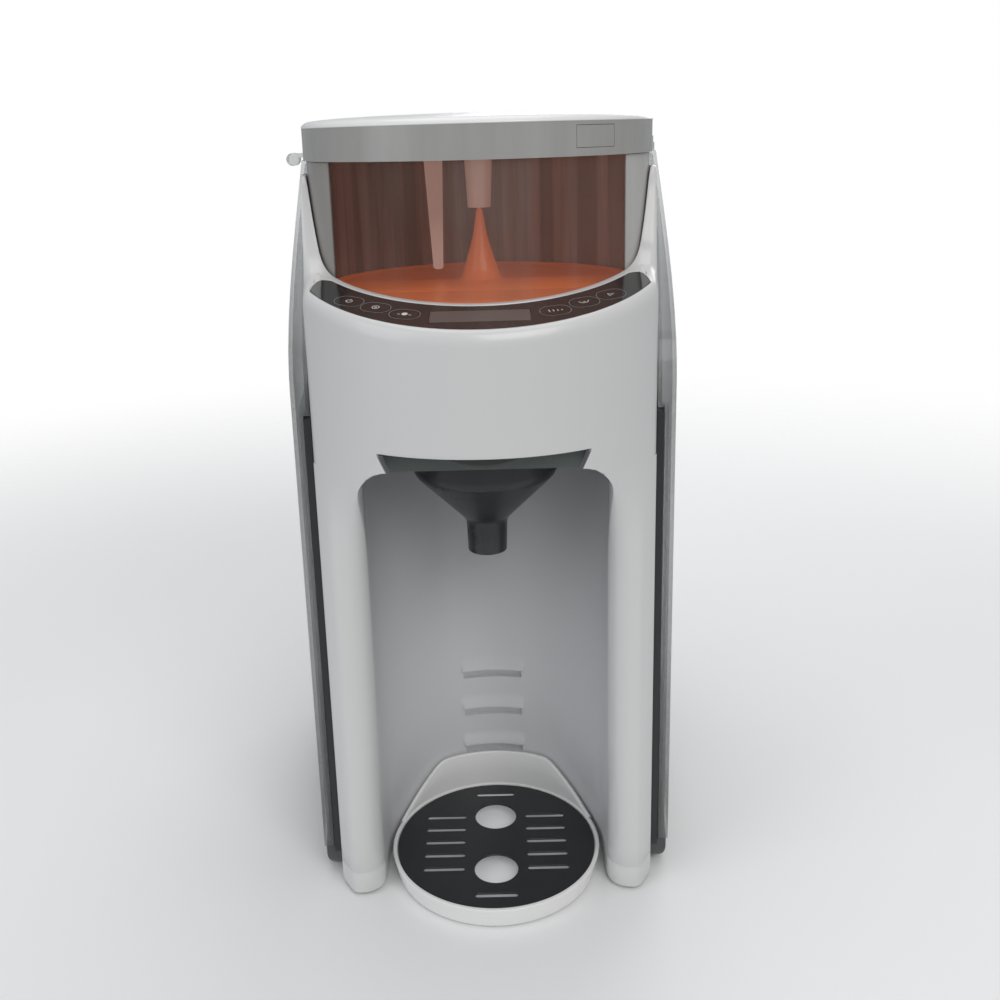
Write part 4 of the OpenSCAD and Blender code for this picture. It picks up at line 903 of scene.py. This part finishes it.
lid = lathe("lid_cap", [(0.0, 418.9), (20, 418.85), (40, 418.65), (60, 418.2), (75, 417.6), (84, 417.0), (88, 416.55),
                        (90.2, 416.0), (91.6, 415.2), (92.4, 414.2), (92.7, 413.4), (92.5, 413.05), (90.5, 413.0),
                        (86.0, 413.1), (84, 413.4), (0.0, 413.6)], lid_white, (0, DRUM_Y), closed=False)
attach(lid, "lid")
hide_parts("lid_top")

# ---------- stirring wheel ----------

WHEEL_R, WHEEL_Z = 86.0, 327.6
# The disc carries the painted-shade copy of the orange.
disc = lathe("wheel_disc", round_profile([
    (0.01, WHEEL_Z, 0), (WHEEL_R, WHEEL_Z, 0.4), (WHEEL_R, WHEEL_Z + 3.0, 0.8), (WHEEL_R - 4, WHEEL_Z + 3.0, 0.6),
    (WHEEL_R - 5, WHEEL_Z + 1.8, 0.6), (0.01, WHEEL_Z + 1.8, 0)]), orange_shaded, (0, DRUM_Y), closed=False)
plate_rows = []
for dr, dz in ((0, 0.0), (0, 1.6), (0.25, 2.0), (0.8, 2.2)):
    row = []
    r = WHEEL_R - 1.0 - dr
    for k in range(97):
        a = math.pi + math.pi * k / 96
        row.append((r * math.cos(a), DRUM_Y + r * math.sin(a) - dr, WHEEL_Z + 1.6 + dz))
    plate_rows.append(row)
half = loft("wheel_plate", plate_rows, orange, angle=40)
cone_rz = [(11.2, 0), (9.2, 5.4), (7.4, 10.9), (5.8, 16.3), (4.3, 21.7), (3.2, 27.1), (2.4, 32.6), (1.6, 36.8),
           (0.9, 38.1), (0.01, 38.4)]
cone = lathe("wheel_cone", [(14.0, 331.2), (12.4, 331.5)] + [(r, 332.2 + z * 0.978) for r, z in cone_rz], orange,
             (0, DRUM_Y), seg=64, closed=False, angle=60)
# Painted shadow: a thin dark strip on the disc behind the edge of the front half plate, where the plate shades it.
shadow_line_rows = []
for t in (0.0, 0.5, 1.0):
    shadow_line_rows.append([(-64 + 50 * k / 20, DRUM_Y - 0.3 + (0.5 + 2.7 * (k / 20) ** 0.7) * t, WHEEL_Z + 1.87)
                      for k in range(21)])
shadow_line = grid("wheel_shadow_line", shadow_line_rows, shadow_line_paint)
for obj in (disc, half, cone, shadow_line):
    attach(obj, "wheels")
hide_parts("stir_wheel")

# ---------- base ----------

TANK_R, TANK_CY, TANK_FRONT, TANK_HALF = 114.5, 54.5, CORNER_Y + 9, 98.0
BASE_TOP = 17.6


def outline(d, n=60):
    """Tank's outline in plan drawn in by d, from the right front corner round the back to the left front."""
    dist = math.hypot(TANK_HALF, TANK_FRONT - TANK_CY)
    phi = math.atan2(TANK_FRONT - TANK_CY, TANK_HALF) + math.acos(TANK_R / dist)
    r = TANK_R - d
    tx, ty = r * math.cos(phi), TANK_CY + r * math.sin(phi)
    fx, fy = TANK_HALF - d, TANK_FRONT + d
    side = [(fx - 1.6, fy), (fx - 0.5, fy + 0.3), (fx, fy + 1.4)]
    side += [(fx + (tx - fx) * k / 8, fy + 1.4 + (ty - fy - 1.4) * k / 8) for k in range(1, 8)]
    turns = [phi + (math.pi - 2 * phi) * k / n for k in range(n + 1)]
    arc = [(r * math.cos(a), TANK_CY + r * math.sin(a)) for a in turns]
    return side + arc + [(-x, y) for x, y in side[::-1]]


def base_loop(d, z):
    inner = [(side_x(TANK_FRONT) + 0.4, TANK_FRONT + d), (side_x(-64) + 0.4, -64), (70, -33.4), (20, -33.2)]
    pts = outline(d) + [(-x, y) for x, y in inner] + inner[::-1]
    return [(x, y, z) for x, y in pts]


def circle_at(x, y, r, z, n=48):
    return [(x + r * math.cos(2 * math.pi * k / n), y + r * math.sin(2 * math.pi * k / n), z) for k in range(n)]


base = loft("base_body", [base_loop(d, z) for d, z in
                          ((4.4, 4.0), (2.9, 5.2), (1.7, 6.9), (0.95, 9.0), (0.6, 11.5), (0.6, 16.9), (0.8, 17.4),
                           (1.3, BASE_TOP))], smoke_base, holes=[(-1, circle_at(0, 109.5, 15.4, BASE_TOP))])
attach(base, "machine")
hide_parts("base_housing")
plate = loft("base_floor", [base_loop(d, z) for d, z in ((9.2, 1.5), (7.4, 2.0), (5.6, 3.0), (4.5, 3.9))], smoke_base)
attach(plate, "machine")
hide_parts("base_plate")

# ---------- control panel marks ----------

KEYS = [("power_key", -62.3, 38.2), ("heat_key", -49, 30.3), ("info_key", -34.9, 22), ("volume_key", 34.9, 22),
        ("powder_key", 49, 30.3), ("start_key", 62.3, 38.2)]


def on_key(x, y_off, u, v, w):
    """A point given on a key's own axes, u along it and v across it, brought onto the sloping ledge."""
    y = FRONT + y_off
    t = math.radians(x * 0.42)
    a, b = u * math.cos(t) - v * math.sin(t), u * math.sin(t) + v * math.cos(t)
    c, sn = math.cos(TILT), math.sin(TILT)
    return (x + a, y + b * c - w * sn, ledge_at(y) + b * sn + w * c)


def ribbon(points, width, closed=False):
    """Left and right edges of a flat stroke through (u, v) points."""
    n = len(points)
    out = []
    for i in range(n):
        a = points[(i - 1) % n if closed or i else i]
        b = points[(i + 1) % n if closed or i < n - 1 else i]
        dx, dy = b[0] - a[0], b[1] - a[1]
        l = math.hypot(dx, dy) or 1
        nx, ny = -dy / l * width / 2, dx / l * width / 2
        out.append(((points[i][0] + nx, points[i][1] + ny), (points[i][0] - nx, points[i][1] - ny)))
    return out


def arc_uv(cu, cv, r, a0, a1, n=14):
    turns = [math.radians(a0 + (a1 - a0) * k / n) for k in range(n + 1)]
    return [(cu + r * math.cos(a), cv + r * math.sin(a)) for a in turns]


def stadium(grow, n=10):
    w, r = 6.9 - 4.7, 4.7 + grow
    return arc_uv(w, 0, r, -90, 90, n) + arc_uv(-w, 0, r, 90, 270, n)


ICONS = {
    "power_key": [arc_uv(0, 0, 1.5, 125, 415), [(0, 0.4), (0, 2.1)]],
    "heat_key": [arc_uv(0, 0, 1.7, 0, 360), arc_uv(0, 0, 0.5, 0, 360, 8)],
    "info_key": [[(-3.4, -0.6), (-2.0, -0.6)], [(2.0, -0.6), (3.4, -0.6)]],
    "volume_key": [[(-3, -1.2), (-3, 1.2)], [(-1, -1.2), (-1, 0.8)], [(1, -1.2), (1, 0.4)], [(3, -1.2), (3, 0.0)]],
    "powder_key": [[(-2.6, 1), (-1.2, -1), (1.2, -1), (2.6, 1)], [(-0.6, 0.2), (0.6, 0.2)]],
    "start_key": [[(-1.4, -1.2), (1.6, 0), (-1.4, 1.2), (-1.4, -1.2)]],
}


def strokes(name, x, y_off, lines, width, lift, mats, closed=False):
    verts, faces = [], []
    for line in lines:
        edges = ribbon(line, width, closed)
        base_i = len(verts)
        for (a, b) in edges:
            verts.append(on_key(x, y_off, a[0], a[1], lift))
            verts.append(on_key(x, y_off, b[0], b[1], lift))
        m = len(edges)
        for i in range(m if closed else m - 1):
            j = (i + 1) % m
            faces.append((base_i + 2 * i, base_i + 2 * i + 1, base_i + 2 * j + 1, base_i + 2 * j))
    return new_object(name, verts, faces, mats, smooth=False)


for key, kx, ky in KEYS:
    edge = strokes("edge_of_" + key, kx, ky, [stadium(0.55)], 0.32, 0.06, mark_dim, closed=True)
    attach(edge, "machine")
    icon = strokes("icon_of_" + key, kx, ky, ICONS[key], 0.42, 0.17, mark_white)
    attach(icon, key)
dot = strokes("dot_of_info_key", -34.9, 22, [arc_uv(0, 0, 0.75, 0, 360, 18)], 1.5, 0.18, mark_white)
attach(dot, "info_key")

# ---------- bottle stand ----------

ring = lathe("stand_ring", round_profile([
    (0.01, 0.5, 0), (57.0, 0.5, 1.2), (59.4, 11.1, 0.8), (59.7, 12.7, 0.7), (57.4, 12.7, 0.6), (57.4, 9.0, 0.3),
    (56.0, 2.5, 0.8), (0.01, 2.5, 0)]), stand_white, (0, BAY_Y), closed=False, angle=45)


def hood_rows():
    r_out, r_in = 60.4, 58.2
    rows = []
    for k in range(121):
        a = math.radians(-71 + 142 * k / 120)
        x = r_out * math.sin(a)
        ax = abs(x)
        h = 35.0
        if ax > 33:
            h = 35.0 - 22.3 * min((ax - 33) / 24.0, 1.0)
        # soften the two bends of the outline
        soft = 0.0
        for m in range(-3, 4):
            axm = ax + m * 1.1
            soft += 35.0 - 22.3 * min(max((axm - 33.5) / 23.0, 0.0), 1.0)
        h = max(soft / 7, 11.6)
        col = []
        for r, z in ((r_out, 11.0), (r_out, (11 + h) / 2), (r_out, h - 0.8), (r_out - 0.25, h - 0.25), (r_out - 0.8, h),
                     (r_in + 0.8, h), (r_in + 0.25, h - 0.25), (r_in, h - 0.8), (r_in, (11 + h) / 2), (r_in, 11.0)):
            col.append((r * math.sin(a), BAY_Y + r * math.cos(a), z))
        rows.append(col)
    return rows


hood = grid("stand_hood", hood_rows(), stand_white, wrap_u=True, angle=45)
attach(ring, "stand")
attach(hood, "stand")
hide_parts("bottle_stand")

# ---------- funnel ----------

w = 1.8
funnel = lathe("funnel_cone", round_profile([
    (8.5, 194, 0.5), (10.3, 194, 0.5), (10.9, 212, 3.0), (38, 239, 3.5), (38, 253.5, 0.3), (41, 253.5, 0.5),
    (41, 255.4, 0.5), (36.2, 255.4, 0.5), (36.2, 239.6, 3.0), (9.1, 213, 3.0)], 0.5, 6),
    funnel_smoke, (0, BAY_Y), seg=128, angle=45)
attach(funnel, "funnel_slide")
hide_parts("funnel")

PLATE_Z, PLATE_T, PLATE_LIP = 252.6, 2.4, 263.4
DECK_HALF, DECK_FRONT, DECK_BACK = 45.5, -144.3, -51


def deck_outline(g):
    return [(-DECK_HALF - g, DECK_FRONT - g), (DECK_HALF + g, DECK_FRONT - g),
            (DECK_HALF + g, DECK_BACK + g), (-DECK_HALF - g, DECK_BACK + g)]


deck_levels = [(0.3, PLATE_Z), (0, PLATE_Z + 0.3), (0, PLATE_Z + PLATE_T - 0.3), (0.3, PLATE_Z + PLATE_T)]
deck = pierced("funnel_deck", deck_outline, [round_at(0, BAY_Y, 38.3, 96)], deck_levels, plate_smoke)
lip_rows = []
for k in range(25):
    u = -1 + 2 * k / 24
    lip_rows.append([(u * w, y, z) for w, y, z in (
        (45.5, -144.0, PLATE_Z + 0.3), (45.5, -146.9, PLATE_Z), (45.55, -147.0, PLATE_Z + 0.12), (47.0, -147.0, 256.0),
        (48.3, -147.0, 259.6), (49.5, -147.0, PLATE_LIP - 0.4), (49.6, -146.6, PLATE_LIP), (49.6, -144.4, PLATE_LIP),
        (49.4, -144.0, PLATE_LIP - 0.4), (47.0, -144.0, 256.0))])
lip_bar = grid("funnel_lip", lip_rows, plate_smoke, wrap_u=True, angle=35)
# Painted shade: a dark arc on the lip's front face stands for a shallow finger recess in shade.
recess_shade_rows = []
for t in (0.0, 0.04, 0.3, 0.65, 1.0):
    row = []
    for k in range(41):
        x = -17.8 + 35.6 * k / 40
        low = 253.6 + 3.7 * (x / 16) ** 2
        row.append((x, -147.04 - (0.08 if t > 0.02 else 0), low + (258.4 - low) * t))
    recess_shade_rows.append(row)
recess_shade = grid("funnel_recess_shade", recess_shade_rows, panel_black, angle=60)
for obj in (deck, lip_bar, recess_shade):
    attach(obj, "funnel_slide")
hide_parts("funnel_plate")

SLOT_L, SLOT_W = 23, 2.8
grille_holes = [round_at(0, BAY_Y - 24.3, 12.2), round_at(0, BAY_Y + 24.3, 12.2)]
grille_holes += [slot_at(0, BAY_Y - 46.5, SLOT_L, SLOT_W), slot_at(0, BAY_Y + 46.5, SLOT_L, SLOT_W)]
grille_holes += [slot_at(side * 29.2, BAY_Y + i * 12, SLOT_L, SLOT_W) for side in (-1, 1) for i in range(-2, 3)]
grille = pierced("grille_plate", round_at(0, BAY_Y, 56.9, 160), grille_holes,
                 [(0.25, 11.1), (0, 11.3), (0, 11.9), (0.25, 12.15)], grille_black)
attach(grille, "grille")
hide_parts("drip_grille")

gland = lathe_y("cord_gland_ring", [(3.5, 161.0), (3.5, 168.4), (3.8, 168.8), (4.3, 168.95), (5.0, 168.8), (5.4, 168.4),
                                    (5.5, 166.0), (5.5, 161.0)], rubber, 0, 9.5)
bore = lathe_y("cord_gland_bore", [(0.01, 162.0), (2.0, 162.1), (3.55, 162.3), (3.55, 161.2), (0.01, 161.2)],
               pump_black, 0, 9.5)
for obj in (gland, bore):
    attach(obj, "machine")
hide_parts("cord_gland")

# ---------- floor, light, camera ----------

floor_paint = Paint("floor_pale", (0.86, 0.86, 0.86), 0.6)
fx, fy, _ = floor_paint.place()
reach = ((fx * fx + fy * fy) ** 0.5).ramp(0.35, 1.3)
floor_paint.set("Alpha", 1.0 - reach)
floor_cloud = floor_paint.noise(3, 2)
floor_paint.set("Base Color", floor_paint.mix(floor_cloud, (0.85, 0.85, 0.85), (0.88, 0.88, 0.88)))
FLOOR_R = 2600
around = [2 * math.pi * k / 96 for k in range(96)]
floor_rows = [[(FLOOR_R * r * math.cos(a), FLOOR_R * r * math.sin(a), -0.05) for a in around]
              for r in (0.0001, 0.1, 0.25, 0.5, 0.75, 1.0)]
floor = grid("floor", floor_rows, floor_paint, wrap_u=True)

scene = bpy.context.scene
world = bpy.data.worlds.new("studio")
scene.world = world
world.use_nodes = True
wt = world.node_tree
wt.nodes.clear()
w_out = wt.nodes.new("ShaderNodeOutputWorld")
w_mix = wt.nodes.new("ShaderNodeMixShader")
w_soft = wt.nodes.new("ShaderNodeBackground")
w_white = wt.nodes.new("ShaderNodeBackground")
w_path = wt.nodes.new("ShaderNodeLightPath")
w_any = wt.nodes.new("ShaderNodeMath")
w_any.operation = "MAXIMUM"
w_soft.inputs[0].default_value = (0.93, 0.96, 1.0, 1)
w_soft.inputs[1].default_value = 0.36
w_white.inputs[0].default_value = (1, 1, 1, 1)
w_white.inputs[1].default_value = 1.0
wt.links.new(w_path.outputs["Is Camera Ray"], w_any.inputs[0])
wt.links.new(w_path.outputs["Is Transmission Ray"], w_any.inputs[1])
wt.links.new(w_any.outputs[0], w_mix.inputs[0])
wt.links.new(w_soft.outputs[0], w_mix.inputs[1])
wt.links.new(w_white.outputs[0], w_mix.inputs[2])
wt.links.new(w_mix.outputs[0], w_out.inputs[0])


def area(name, place, look, size, power, color=(1, 1, 1)):
    light = bpy.data.lights.new(name, "AREA")
    light.shape = "RECTANGLE"
    light.size, light.size_y = size
    light.energy = power
    light.color = color
    obj = bpy.data.objects.new(name, light)
    obj.location = place
    obj.rotation_euler = (Vector(look) - Vector(place)).to_track_quat("-Z", "Y").to_euler()
    scene.collection.objects.link(obj)
    return obj


area("key_light", (0.55, -1.5, 1.35), (0, 0, 0.2), (1.2, 1.0), 13, (1.0, 0.985, 0.96))
area("fill_light", (-1.4, -1.0, 0.9), (0, 0, 0.2), (1.0, 1.4), 6, (0.95, 0.975, 1.0))
area("top_light", (0.0, 0.1, 1.7), (0, 0, 0.2), (1.2, 1.2), 8)
area("back_light", (0.5, 1.5, 1.0), (0, 0, 0.2), (1.2, 1.0), 8)

cam = bpy.data.cameras.new("camera")
cam.sensor_width = 36
cam.lens = 39.408
cam.shift_x = 0.01331
cam.shift_y = -0.0641
cam.clip_start = 0.01
cam.clip_end = 20
cam_obj = bpy.data.objects.new("camera", cam)
scene.collection.objects.link(cam_obj)
yaw, pitch, roll = math.radians(-0.49), math.radians(15.57), math.radians(1.6)
fwd = Vector((math.sin(yaw) * math.cos(pitch), math.cos(yaw) * math.cos(pitch), -math.sin(pitch)))
right = Vector((math.cos(yaw), -math.sin(yaw), 0))
up = right.cross(fwd)
r_img = right * math.cos(roll) - up * math.sin(roll)
u_img = up * math.cos(roll) + right * math.sin(roll)
cam_obj.matrix_world = Matrix((
    (r_img.x, u_img.x, -fwd.x, 0.00579), (r_img.y, u_img.y, -fwd.y, -0.6498),
    (r_img.z, u_img.z, -fwd.z, 0.4096), (0, 0, 0, 1)))
scene.camera = cam_obj
scene.view_settings.view_transform = "Standard"

# ---------- valve spring, which shortens as the valve opens: here only given its own copy of its mesh ---

spring = NODES["valve_spring"]
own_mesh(spring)
